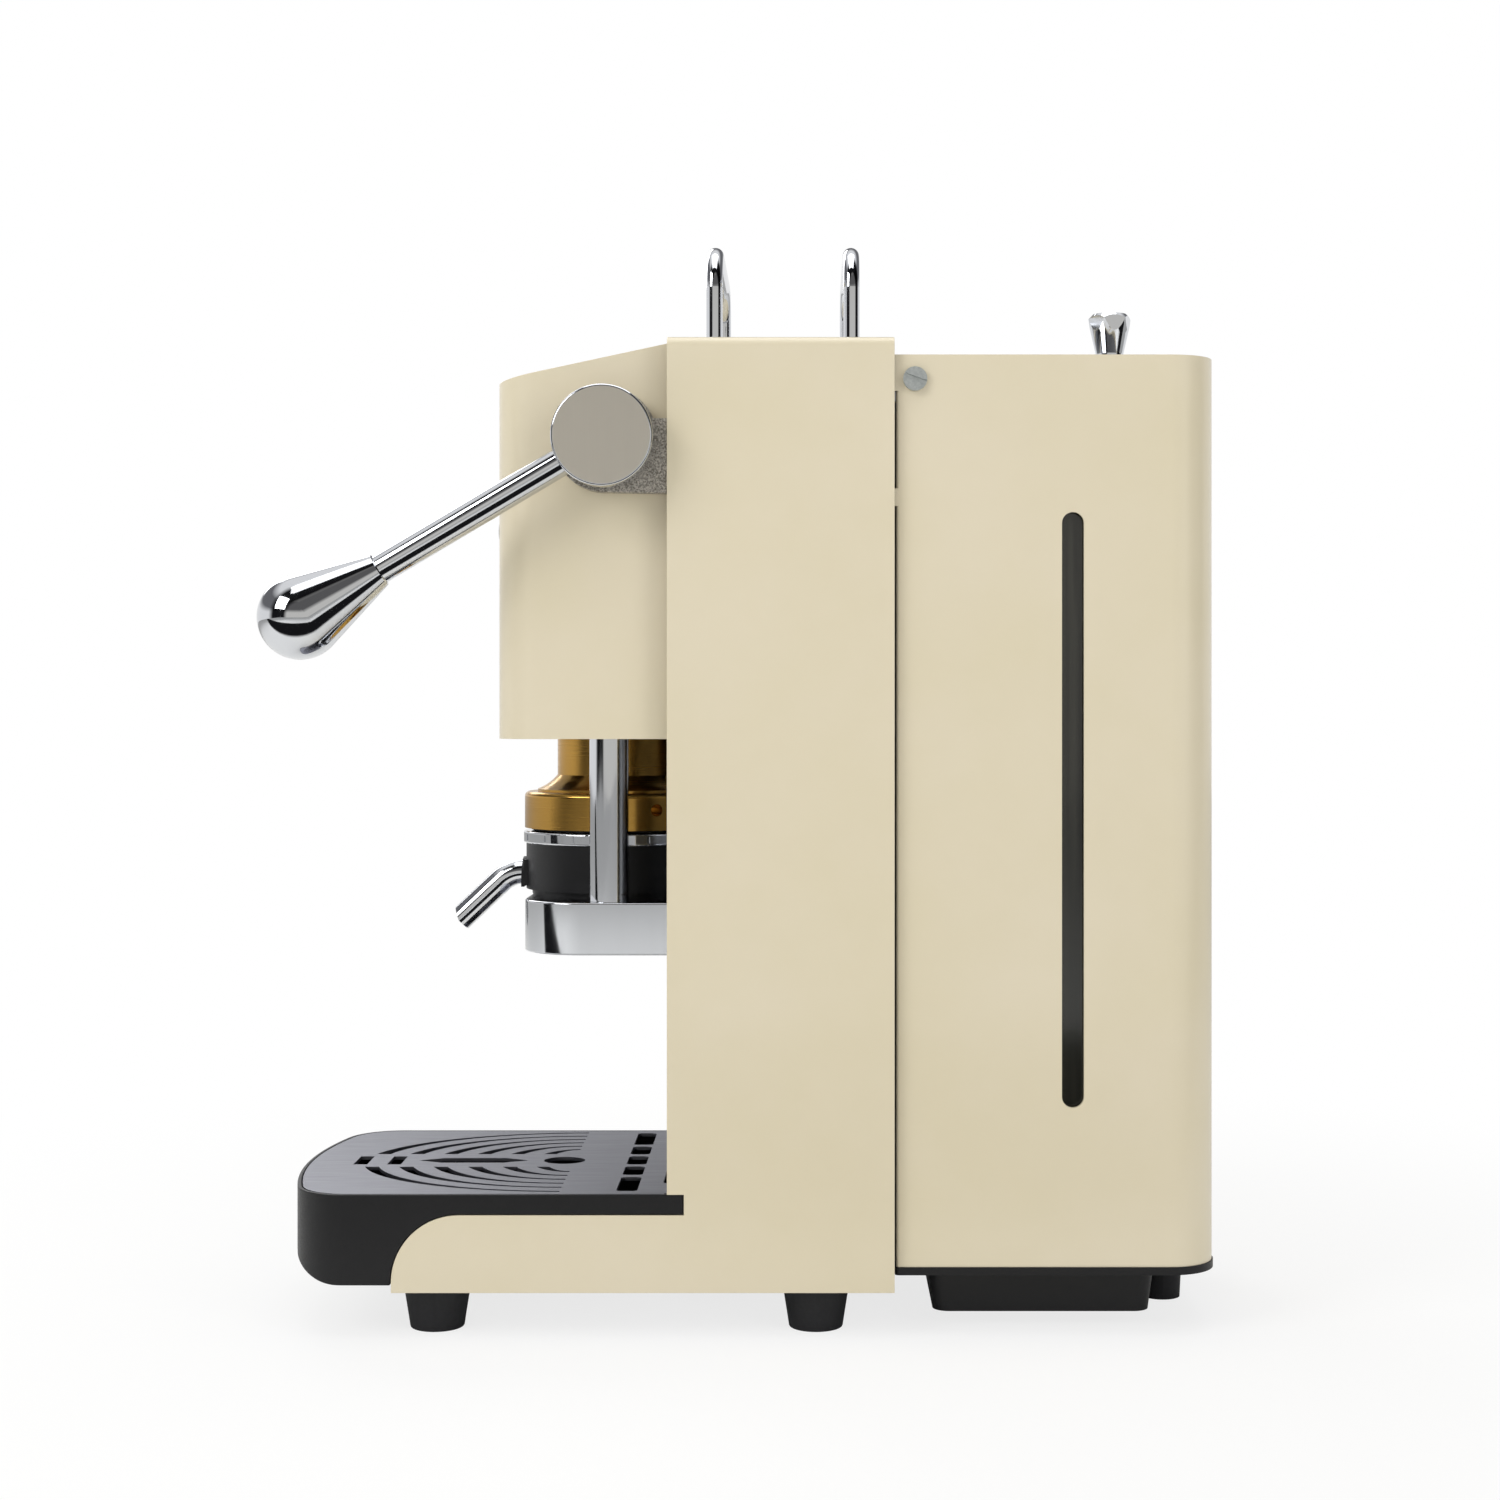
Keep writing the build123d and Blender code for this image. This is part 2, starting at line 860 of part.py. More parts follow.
with BuildPart() as arm_screws:
    for side in (-1, 1):
        for y, z in arm_screw_places:
            head_out = side * arm_outer
            head_in = side * arm_inner
            tail = side * (frame_half - frame_plate - arm_screw_radius)
            head_ends = sorted((head_in, head_out))
            tail_ends = sorted((tail, head_in))
            add(round_bar(head_ends[0], head_ends[1], y, z, arm_screw_head - seat_gap))
            add(round_bar(tail_ends[0], tail_ends[1], y, z, arm_screw_radius))
arm_screws.part.label = "arm_screws"
export_step(arm_screws.part, "parts/arm_screws.step")

with BuildPart() as shaft_bushes:
    for side in (-1, 1):
        ends = sorted((side * arm_outer, side * (arm_outer - bush_length)))
        add(round_bar(ends[0], ends[1], pivot_y, pivot_z, bush_radius))
    add(
        round_bar(-half_body, half_body, pivot_y, pivot_z, shaft_radius + running_gap),
        mode=Mode.SUBTRACT,
    )
shaft_bushes.part.label = "shaft_bushes"
export_step(shaft_bushes.part, "parts/shaft_bushes.step")

# Lever shaft, from the end cap through both arms into the hub disc
cap_inner_x = -disc_inner_x
with BuildPart() as lever_shaft:
    add(
        round_bar(cap_inner_x - cap_grip, disc_inner_x + shaft_grip, pivot_y, pivot_z, shaft_radius)
    )
    chamfer(lever_shaft.edges().filter_by(GeomType.CIRCLE), length=edge_break)
lever_shaft.part.label = "lever_shaft"
export_step(lever_shaft.part, "parts/lever_shaft.step")

with BuildPart() as hub_disc:
    add(round_bar(disc_inner_x, disc_inner_x + disc_thickness, pivot_y, pivot_z, disc_radius))
    chamfer(hub_disc.edges().filter_by(GeomType.CIRCLE), length=disc_chamfer)
    add(
        round_bar(disc_inner_x - overrun, disc_inner_x + shaft_grip, pivot_y, pivot_z, shaft_radius),
        mode=Mode.SUBTRACT,
    )
    with BuildSketch(Plane(origin=(lever_x, pivot_y, pivot_z), z_dir=lever_dir)) as rod_hole:
        Circle(rod_radius)
    extrude(amount=disc_radius + overrun, mode=Mode.SUBTRACT)
    with BuildSketch(Plane(origin=(lever_x, pivot_y, pivot_z), z_dir=lever_dir)):
        Circle(rod_radius)
    extrude(amount=rod_seat)
    add(
        round_bar(disc_inner_x - overrun, disc_inner_x + shaft_grip, pivot_y, pivot_z, shaft_radius),
        mode=Mode.SUBTRACT,
    )
hub_disc.part.label = "hub_disc"
export_step(hub_disc.part, "parts/hub_disc.step")

with BuildPart() as end_cap:
    add(round_bar(cap_inner_x - cap_thickness, cap_inner_x, pivot_y, pivot_z, cap_radius))
    fillet(end_cap.faces().sort_by(Axis.X)[0].edges(), radius=disc_chamfer)
    add(
        round_bar(cap_inner_x - cap_grip, cap_inner_x + overrun, pivot_y, pivot_z, shaft_radius),
        mode=Mode.SUBTRACT,
    )
end_cap.part.label = "end_cap"
export_step(end_cap.part, "parts/end_cap.step")

with BuildPart() as lever_rod:
    with BuildSketch(
        Plane(origin=(lever_x, pivot_y, pivot_z), z_dir=lever_dir).offset(rod_seat)
    ):
        Circle(rod_radius)
    extrude(amount=knob_neck_at + rod_in_knob - rod_seat)
lever_rod.part.label = "lever_rod"
export_step(lever_rod.part, "parts/lever_rod.step")

# Knob: a cone that runs tangent into a ball
lever_plane = Plane(origin=(lever_x, pivot_y, pivot_z), x_dir=lever_dir, z_dir=(1, 0, 0))
neck_to_ball = sqrt((knob_ball_at - knob_neck_at) ** 2 + knob_neck_radius**2)
neck_lean = atan2(knob_neck_radius, knob_ball_at - knob_neck_at)
touch_angle = pi - neck_lean - atan2(sqrt(neck_to_ball**2 - knob_ball_radius**2), knob_ball_radius)
touch = (
    knob_ball_at + knob_ball_radius * cos(touch_angle),
    knob_ball_radius * sin(touch_angle),
)
mid_angle = touch_angle / 2
ball_mid = (
    knob_ball_at + knob_ball_radius * cos(mid_angle),
    knob_ball_radius * sin(mid_angle),
)
with BuildPart() as lever_knob:
    with BuildSketch(lever_plane):
        with BuildLine():
            Line((knob_neck_at, 0), (knob_neck_at, knob_neck_radius - edge_break))
            Line(
                (knob_neck_at, knob_neck_radius - edge_break),
                (knob_neck_at + edge_break / 2, knob_neck_radius),
            )
            Line((knob_neck_at + edge_break / 2, knob_neck_radius), touch)
            ThreePointArc(touch, ball_mid, (knob_ball_at + knob_ball_radius, 0))
            Line((knob_ball_at + knob_ball_radius, 0), (knob_neck_at, 0))
        make_face()
    revolve(axis=Axis((lever_x, pivot_y, pivot_z), lever_dir))
    with BuildSketch(
        Plane(origin=(lever_x, pivot_y, pivot_z), z_dir=lever_dir).offset(knob_neck_at - overrun)
    ):
        Circle(rod_radius)
    extrude(amount=rod_in_knob + overrun, mode=Mode.SUBTRACT)
lever_knob.part.label = "lever_knob"
export_step(lever_knob.part, "parts/lever_knob.step")


# Cam: its radius falls evenly with the angle, so the head rises evenly with the lever

def cam_edge_point(angle):
    """A point of the cam's edge, the roller's radius and a gap inside the roller's path."""
    reach = closed_distance - cam_rate * angle
    lean = atan(cam_rate / reach)
    inset = roller_radius + cam_gap
    path_y = reach * sin(angle)
    path_z = -reach * cos(angle)
    normal_y = sin(angle + lean)
    normal_z = -cos(angle + lean)
    return (path_y - inset * normal_y, path_z - inset * normal_z)


cam_start = -radians(cam_lead_angle)
cam_end = radians(lever_travel + cam_lead_angle / 2)
cam_edge = [
    cam_edge_point(cam_start + (cam_end - cam_start) * step / (cam_points - 1))
    for step in range(cam_points)
]
with BuildPart() as lever_cam:
    with BuildSketch(Plane.YZ.offset(-cam_width / 2)):
        with Locations((pivot_y, pivot_z)):
            Circle(cam_hub)
        with BuildLine(Plane.XY.move(Location((pivot_y, pivot_z)))):
            Spline(*cam_edge)
            Line(cam_edge[-1], (0, 0))
            Line((0, 0), cam_edge[0])
        make_face()
        with Locations((pivot_y, pivot_z)):
            Circle(shaft_radius, mode=Mode.SUBTRACT)
    extrude(amount=cam_width)
lever_cam.part.label = "lever_cam"
export_step(lever_cam.part, "parts/lever_cam.step")

# Crosshead: slides on the two columns and carries the roller between two ears
ear_inner = roller_width / 2 + ear_side_gap
ear_outer_x = ear_inner + ear_thickness
with BuildPart() as crosshead:
    with BuildSketch(Plane.XY.offset(crosshead_bottom)) as bar_plan:
        with Locations((0, pivot_y)):
            Rectangle(2 * crosshead_half, 2 * crosshead_half_depth)
        fillet(bar_plan.vertices(), radius=crosshead_half_depth / 2)
        with Locations((guide_x, pivot_y), (-guide_x, pivot_y)):
            Circle(guide_radius + running_gap, mode=Mode.SUBTRACT)
        with Locations((head_screw_x, pivot_y), (-head_screw_x, pivot_y)):
            Circle(head_screw_radius + running_gap, mode=Mode.SUBTRACT)
    extrude(amount=crosshead_height)
    for side in (-1, 1):
        ends = sorted((side * ear_inner, side * ear_outer_x))
        with BuildSketch(Plane.YZ.offset(ends[0])):
            with Locations((pivot_y, roller_z)):
                Circle(ear_half_depth)
            with Locations((pivot_y, (crosshead_top + roller_z) / 2)):
                Rectangle(2 * ear_half_depth, roller_z - crosshead_top)
            with Locations((pivot_y, roller_z)):
                Circle(roller_pin_radius, mode=Mode.SUBTRACT)
        extrude(amount=ear_thickness)
crosshead.part.label = "crosshead"
export_step(crosshead.part, "parts/crosshead.step")

with BuildPart() as roller_pin:
    add(
        round_bar(
            -ear_outer_x - roller_pin_head_thickness,
            ear_outer_x,
            pivot_y,
            roller_z,
            roller_pin_radius,
        )
    )
    add(
        round_bar(
            -ear_outer_x - roller_pin_head_thickness,
            -ear_outer_x,
            pivot_y,
            roller_z,
            roller_pin_head,
        )
    )
roller_pin.part.label = "roller_pin"
export_step(roller_pin.part, "parts/roller_pin.step")

with BuildPart() as cam_roller:
    add(round_bar(-roller_width / 2, roller_width / 2, pivot_y, roller_z, roller_radius))
    chamfer(cam_roller.edges().filter_by(GeomType.CIRCLE), length=edge_break)
    add(
        round_bar(
            -roller_width, roller_width, pivot_y, roller_z, roller_pin_radius + running_gap
        ),
        mode=Mode.SUBTRACT,
    )
cam_roller.part.label = "cam_roller"
export_step(cam_roller.part, "parts/cam_roller.step")

# Guide columns, their nuts and the two plates that tie them to the chassis
with BuildPart() as guide_columns:
    with Locations((guide_x, pivot_y, group_top - guide_seat), (-guide_x, pivot_y, group_top - guide_seat)):
        Cylinder(
            guide_radius,
            bridge_top + nut_height + sheet - group_top + guide_seat,
            align=(Align.CENTER, Align.CENTER, Align.MIN),
        )
    chamfer(guide_columns.edges().filter_by(GeomType.CIRCLE).group_by(Axis.Z)[-1], length=edge_break)
guide_columns.part.label = "guide_columns"
export_step(guide_columns.part, "parts/guide_columns.step")

with BuildPart() as column_nuts:
    with BuildSketch(Plane.XY.offset(bridge_top)):
        for side in (-1, 1):
            with Locations((side * guide_x, pivot_y)):
                RegularPolygon(nut_across_flats / 2, 6, major_radius=False, rotation=30)
                Circle(guide_radius, mode=Mode.SUBTRACT)
    extrude(amount=nut_height)
column_nuts.part.label = "column_nuts"
export_step(column_nuts.part, "parts/column_nuts.step")

with BuildPart() as guide_plate:
    with BuildSketch(Plane.XY.offset(guide_plate_bottom)):
        with Locations((0, (bridge_front + frame_front) / 2)):
            Rectangle(2 * bridge_half, frame_front - bridge_front)
        with Locations((guide_x, pivot_y), (-guide_x, pivot_y)):
            Circle(guide_radius, mode=Mode.SUBTRACT)
        with Locations((0, pivot_y)):
            Circle(neck_radius + running_gap, mode=Mode.SUBTRACT)
    extrude(amount=guide_plate_thickness)
guide_plate.part.label = "guide_plate"
export_step(guide_plate.part, "parts/guide_plate.step")

with BuildPart() as bridge_plate:
    with BuildSketch(Plane.XY.offset(bridge_bottom)):
        with Locations((0, (bridge_front + frame_front) / 2)):
            Rectangle(2 * bridge_half, frame_front - bridge_front)
        with Locations((guide_x, pivot_y), (-guide_x, pivot_y)):
            Circle(guide_radius, mode=Mode.SUBTRACT)
        window_rear = pivot_y + bridge_window_half_depth
        with Locations((0, (bridge_front - overrun + window_rear) / 2)):
            Rectangle(
                2 * bridge_window_half, window_rear - bridge_front + overrun, mode=Mode.SUBTRACT
            )
    extrude(amount=bridge_thickness)
bridge_plate.part.label = "bridge_plate"
export_step(bridge_plate.part, "parts/bridge_plate.step")


def coil(origin, direction, length, radius, wire, turns):
    """A spring of round wire: one unbroken helix that starts at origin."""
    rise = length - wire
    with BuildPart() as spring:
        with BuildLine() as route:
            Helix(
                pitch=rise / turns, height=rise, radius=radius, center=origin, direction=direction
            )
        with BuildSketch(Plane(origin=route.line @ 0, z_dir=route.line % 0)):
            Circle(wire / 2)
        sweep(path=route.line, is_frenet=True)
    return spring.part


spring_radius = guide_radius + spring_bore + spring_wire / 2
spring_length = crosshead_bottom - guide_plate_top - 2 * spring_end_gap
spring_seat = guide_plate_top + spring_end_gap + spring_wire / 2
with BuildPart() as return_springs:
    for x in (-guide_x, guide_x):
        add(
            coil(
                (x, pivot_y, spring_seat),
                (0, 0, 1),
                spring_length,
                spring_radius,
                spring_wire,
                spring_turns,
            )
        )
return_springs.part.label = "return_springs"
export_step(return_springs.part, "parts/return_springs.step")

# Pressing head: slim neck, hollow shoulder and a wide flange over the pod
with BuildPart() as piston_head:
    with BuildSketch(Plane.XZ.offset(-pivot_y)):
        with BuildLine():
            Polyline(
                (0, crosshead_bottom),
                (neck_radius, crosshead_bottom),
                (neck_radius, neck_bottom),
            )
            ThreePointArc(
                (neck_radius, neck_bottom),
                (
                    neck_radius + (shoulder_radius - neck_radius) * cone_hollow_share,
                    shoulder_z + (neck_bottom - shoulder_z) * cone_hollow_share,
                ),
                (shoulder_radius, shoulder_z),
            )
            Polyline(
                (shoulder_radius, shoulder_z),
                (shoulder_radius, flange_top),
                (flange_radius - flange_rounding, flange_top),
            )
            RadiusArc(
                (flange_radius - flange_rounding, flange_top),
                (flange_radius, flange_top - flange_rounding),
                radius=flange_rounding,
            )
            Polyline(
                (flange_radius, flange_top - flange_rounding),
                (flange_radius, flange_bottom),
                (gasket_outer, flange_bottom),
                (gasket_outer, flange_bottom + gasket_groove),
                (gasket_inner, flange_bottom + gasket_groove),
                (gasket_inner, flange_bottom),
                (shower_radius + seat_gap, flange_bottom),
                (shower_radius + seat_gap, flange_bottom + shower_thickness),
                (0, flange_bottom + shower_thickness),
                (0, crosshead_bottom),
            )
        make_face()
    revolve(axis=Axis((0, pivot_y, 0), (0, 0, 1)))
    with BuildSketch(Plane.XY.offset(crosshead_bottom)):
        with Locations((0, pivot_y)):
            Circle(neck_bore_radius)
    extrude(amount=-neck_bore_depth, mode=Mode.SUBTRACT)
    with BuildSketch(Plane.XY.offset(crosshead_bottom)):
        with Locations((head_screw_x, pivot_y), (-head_screw_x, pivot_y)):
            Circle(head_screw_radius)
    extrude(amount=-head_screw_depth, mode=Mode.SUBTRACT)
    tommy_z = (flange_top + flange_bottom) / 2 + edge_break
    for turn in (tommy_angle, tommy_angle + 180):
        out = (cos(radians(turn)), sin(radians(turn)), 0)
        with BuildSketch(Plane(origin=(0, pivot_y, tommy_z), z_dir=out).offset(flange_radius + overrun)):
            Circle(tommy_radius)
        extrude(amount=-overrun - tommy_depth, mode=Mode.SUBTRACT)
    with BuildSketch(Plane.XZ.offset(-inlet_y)):
        with Locations((0, inlet_z)):
            Circle(inlet_radius)
    extrude(amount=inlet_y - pivot_y - neck_bore_radius)
    with BuildSketch(Plane.XY.offset(inlet_z - inlet_radius)):
        with Locations((0, inlet_y)):
            Circle(inlet_radius)
    extrude(amount=inlet_radius + inlet_reach)
piston_head.part.label = "piston_head"
export_step(piston_head.part, "parts/piston_head.step")

with BuildPart() as head_gasket:
    with BuildSketch(Plane.XY.offset(flange_bottom - gasket_proud)):
        with Locations((0, pivot_y)):
            Circle(gasket_outer - seat_gap)
            Circle(gasket_inner + seat_gap, mode=Mode.SUBTRACT)
    extrude(amount=gasket_groove + gasket_proud)
    fillet(head_gasket.edges().filter_by(GeomType.CIRCLE).group_by(Axis.Z)[0], radius=gasket_proud / 2)
head_gasket.part.label = "head_gasket"
export_step(head_gasket.part, "parts/head_gasket.step")


def pierced_disc(z, thickness, radius, hole):
    """A round plate with rings of small holes."""
    with BuildPart() as disc:
        with BuildSketch(Plane.XY.offset(z)):
            with Locations((0, pivot_y)):
                Circle(radius)
                Circle(hole, mode=Mode.SUBTRACT)
                for ring in range(1, shower_rings + 1):
                    with PolarLocations(ring * shower_ring_step, 6 * ring):
                        Circle(hole, mode=Mode.SUBTRACT)
        extrude(amount=thickness)
    return disc.part


with BuildPart() as shower_screen:
    add(pierced_disc(flange_bottom, shower_thickness, shower_radius, shower_hole))
shower_screen.part.label = "shower_screen"
export_step(shower_screen.part, "parts/shower_screen.step")

with BuildPart() as head_screws:
    with Locations((head_screw_x, pivot_y, crosshead_top), (-head_screw_x, pivot_y, crosshead_top)):
        Cylinder(
            head_screw_head, head_screw_head_height, align=(Align.CENTER, Align.CENTER, Align.MIN)
        )
        Cylinder(
            head_screw_radius,
            crosshead_height + head_screw_depth - edge_break,
            align=(Align.CENTER, Align.CENTER, Align.MAX),
        )
head_screws.part.label = "head_screws"
export_step(head_screws.part, "parts/head_screws.step")

head_hose_low = inlet_z + inlet_reach
with BuildPart() as head_hose:
    with BuildSketch(Plane.XY.offset(head_hose_low + seat_gap)):
        with Locations((0, inlet_y)):
            Circle(head_hose_radius)
            Circle(inlet_bore, mode=Mode.SUBTRACT)
    extrude(amount=head_hose_top - head_hose_low - 2 * seat_gap)
head_hose.part.label = "head_hose"
export_step(head_hose.part, "parts/head_hose.step")

# Chrome base of the group, carried by the chassis
with BuildPart() as group_base:
    with BuildSketch(Plane.XY.offset(group_bottom)) as base_plan:
        with Locations((0, (group_front + frame_front) / 2)):
            Rectangle(2 * group_half, frame_front - group_front)
        fillet(base_plan.vertices().group_by(Axis.Y)[0], radius=group_corner)
    extrude(amount=group_top - group_bottom)
    fillet(group_base.faces().sort_by(Axis.Z)[-1].edges(), radius=edge_break)
    with BuildSketch(Plane.XY.offset(group_top)):
        with Locations((guide_x, pivot_y), (-guide_x, pivot_y)):
            Circle(guide_radius)
    extrude(amount=-guide_seat, mode=Mode.SUBTRACT)
group_base.part.label = "group_base"
export_step(group_base.part, "parts/group_base.step")

# Black filter cup with the pod well, a funnel and a boss for the spout
well_floor = cup_top - pod_well_depth
funnel_floor = well_floor - funnel_depth
with BuildPart() as filter_cup:
    with BuildSketch(Plane.XY.offset(group_top)):
        with Locations((0, pivot_y)):
            Circle(cup_radius)
    extrude(amount=cup_top - group_top)
    cup_front = pivot_y - cup_radius
    with BuildSketch(Plane.XZ.offset(-cup_front)):
        with BuildLine():
            Polyline(
                (-boss_half, boss_high - boss_half),
                (-boss_half, boss_low),
                (boss_half, boss_low),
                (boss_half, boss_high - boss_half),
            )
            ThreePointArc(
                (boss_half, boss_high - boss_half),
                (0, boss_high),
                (-boss_half, boss_high - boss_half),
            )
        make_face()
    extrude(amount=boss_proud)
    with BuildSketch(Plane.XZ.offset(-cup_front)):
        with Locations((0, (boss_low + boss_high) / 2)):
            Rectangle(2 * boss_half, boss_high - boss_low - 2 * edge_break)
    extrude(amount=-boss_half)
    with BuildSketch(Plane.XY.offset(cup_top)):
        with Locations((0, pivot_y)):
            Circle(pod_radius)
    extrude(amount=-pod_well_depth, mode=Mode.SUBTRACT)
    with BuildSketch(Plane.XY.offset(funnel_floor)):
        with Locations((0, pivot_y)):
            Circle(spout_bore + body_gap)
    with BuildSketch(Plane.XY.offset(well_floor)):
        with Locations((0, pivot_y)):
            Circle(pod_radius - filter_plate - body_gap)
    loft(mode=Mode.SUBTRACT)
    with BuildSketch(Plane.XZ.offset(-pivot_y)):
        with Locations((0, spout_z)):
            Circle(spout_bore)
    extrude(amount=cup_radius + boss_proud + overrun, mode=Mode.SUBTRACT)
    with BuildSketch(Plane.XZ.offset(-cup_front + boss_proud - spout_seat)):
        with Locations((0, spout_z)):
            Circle(spout_radius + seat_gap)
    extrude(amount=spout_seat + overrun, mode=Mode.SUBTRACT)
    with BuildSketch(Plane.XY.offset(group_top)):
        with Locations((0, pivot_y)):
            Circle(cup_radius + overrun)
            Circle(cup_radius - cup_foot_inset, mode=Mode.SUBTRACT)
    extrude(amount=cup_foot_height, mode=Mode.SUBTRACT)
filter_cup.part.label = "filter_cup"
export_step(filter_cup.part, "parts/filter_cup.step")

with BuildPart() as filter_screen:
    add(pierced_disc(well_floor, filter_plate, pod_radius - seat_gap, filter_hole))
filter_screen.part.label = "filter_screen"
export_step(filter_screen.part, "parts/filter_screen.step")

# Pod ring: polished, with a groove round it and short cuts that show the spring clip
with BuildPart() as pod_ring:
    with BuildSketch(Plane.XY.offset(cup_top)):
        with Locations((0, pivot_y)):
            Circle(ring_radius)
            Circle(pod_radius, mode=Mode.SUBTRACT)
    extrude(amount=ring_top - cup_top)
    fillet(pod_ring.edges().filter_by(GeomType.CIRCLE).group_by(SortBy.RADIUS)[-1], radius=edge_break)
    with BuildSketch(Plane.XY.offset(cup_top + ring_band)):
        with Locations((0, pivot_y)):
            with PolarLocations(ring_radius, ring_clip_count):
                Rectangle(2 * ring_clip_depth, ring_clip_width)
    extrude(amount=ring_top - cup_top - 2 * ring_band, mode=Mode.SUBTRACT)
pod_ring.part.label = "pod_ring"
export_step(pod_ring.part, "parts/pod_ring.step")

# Spout: a bent chrome tube whose tip is cut square below and obliquely above
spout_start_y = cup_front - boss_proud + spout_seat
bend_end_y = spout_bend_y - spout_bend_radius * sin(radians(spout_angle))
bend_end_z = spout_z - spout_bend_radius * (1 - cos(radians(spout_angle)))
down = (0, -cos(radians(spout_angle)), -sin(radians(spout_angle)))
tip_y = bend_end_y + spout_run * down[1]
tip_z = bend_end_z + spout_run * down[2]
with BuildPart() as spout:
    with BuildLine(Plane.YZ) as spout_route:
        Line((spout_start_y, spout_z), (spout_bend_y, spout_z))
        JernArc(
            start=(spout_bend_y, spout_z),
            tangent=(-1, 0),
            radius=spout_bend_radius,
            arc_size=spout_angle,
        )
        Line((bend_end_y, bend_end_z), (tip_y, tip_z))
    with BuildSketch(Plane(origin=(0, spout_start_y, spout_z), z_dir=(0, -1, 0))):
        Circle(spout_radius)
        Circle(spout_bore, mode=Mode.SUBTRACT)
    sweep(path=spout_route.line)
    tip_lean = radians(spout_angle + quarter_turn - spout_cut_angle)
    with BuildSketch(Plane.YZ):
        with BuildLine():
            cut_low = (tip_y, tip_z)
            Polyline(
                cut_low,
                (
                    cut_low[0] + 4 * spout_radius * cos(tip_lean),
                    cut_low[1] + 4 * spout_radius * sin(tip_lean),
                ),
                (cut_low[0] - 4 * spout_radius, cut_low[1] + 4 * spout_radius),
                (cut_low[0] - 4 * spout_radius, cut_low[1]),
                cut_low,
            )
        make_face()
    extrude(amount=2 * spout_radius, both=True, mode=Mode.SUBTRACT)
spout.part.label = "spout"
export_step(spout.part, "parts/spout.step")


# Drip tray: a drawer between the side panels with a rounded nose and a rim over them

def tray_plan(inset):
    """Plan of the tray: a shallow arc across the front and rounded corners."""
    half = half_body - inset
    front = tray_front + inset
    with BuildSketch() as plan:
        with BuildLine():
            ThreePointArc(
                (-half, front + tray_front_sag), (0, front), (half, front + tray_front_sag)
            )
            Polyline(
                (half, front + tray_front_sag),
                (half, tray_rear - inset),
                (-half, tray_rear - inset),
                (-half, front + tray_front_sag),
            )
        make_face()
        fillet(plan.vertices().group_by(Axis.Y)[0], radius=tray_corner - inset)
    return plan.sketch


def nose_block(inset):
    """Everything behind the rounded front of the tray's underside."""
    front = tray_front + inset
    low = tray_nose_bottom + inset
    radius = tray_nose_rounding - inset
    with BuildPart() as block:
        with BuildSketch(Plane.YZ.offset(-half_body)):
            with BuildLine():
                Line((front, tray_top + overrun), (front, low + radius))
                JernArc(start=(front, low + radius), tangent=(0, -1), radius=radius, arc_size=quarter_turn)
                Polyline(
                    (front + radius, low),
                    (tray_rear, low),
                    (tray_rear, tray_top + overrun),
                    (front, tray_top + overrun),
                )
            make_face()
        extrude(amount=body_width)
    return block.part


def panel_void(grow, start, width):
    """The space of one base panel beside the tray, grown by a clearance."""
    front = base_front - grow
    top = base_top + grow
    radius = base_nose_radius + grow
    with BuildPart() as void:
        with BuildSketch(Plane.YZ.offset(start)):
            with BuildLine():
                Line((front, -overrun), (front, top - radius))
                JernArc(start=(front, top - radius), tangent=(0, 1), radius=radius, arc_size=-quarter_turn)
                Polyline(
                    (front + radius, top),
                    (tray_rear + overrun, top),
                    (tray_rear + overrun, -overrun),
                    (front, -overrun),
                )
            make_face()
        extrude(amount=width)
    return void.part


def tray_block(inset, low):
    """The tray's outer or inner volume above a level."""
    with BuildPart() as block:
        with BuildSketch(Plane.XY.offset(low)):
            add(tray_plan(inset))
        extrude(amount=tray_top - low + (overrun if inset else 0))
        add(nose_block(inset), mode=Mode.INTERSECT)
        flank = half_body + overrun - tray_box_half + inset
        for start in (tray_box_half - inset, -half_body - overrun):
            add(panel_void(body_gap + inset, start, flank), mode=Mode.SUBTRACT)
    return block.part


drawer_low = pan_top + tray_pan_gap
grid_bottom = tray_top - grid_thickness
with BuildPart() as drip_tray:
    add(tray_block(0, tray_nose_bottom))
    add(
        plan_box(
            -half_body, half_body, pan_front - body_gap, tray_rear + overrun, -overrun, drawer_low
        ),
        mode=Mode.SUBTRACT,
    )
    add(tray_block(tray_wall, drawer_low + tray_wall), mode=Mode.SUBTRACT)
    with BuildSketch(Plane.XY.offset(grid_bottom - seat_gap)):
        add(tray_plan(tray_rim))
    extrude(amount=grid_thickness + overrun, mode=Mode.SUBTRACT)
drip_tray.part.label = "drip_tray"
export_step(drip_tray.part, "parts/drip_tray.step")


# Drip grid: satin steel with nested curved slots

def half_ellipse_slit(length, half_width):
    """A curved slot in front of the slots' centre, wide in front and narrow at the sides."""
    inner_length = length - slit_front_width
    inner_half_width = half_width - slit_side_width
    with BuildSketch() as slit:
        with Locations((0, slit_centre_y)):
            Ellipse(half_width, length)
            Ellipse(inner_half_width, inner_length, mode=Mode.SUBTRACT)
        with Locations((0, slit_centre_y)):
            Rectangle(
                2 * half_body, 2 * slit_length, align=(Align.CENTER, Align.MIN), mode=Mode.SUBTRACT
            )
        with Locations((0, slit_centre_y)):
            Rectangle(
                2 * slit_bridge, 2 * slit_length, align=(Align.CENTER, Align.MAX), mode=Mode.SUBTRACT
            )
    return slit.sketch


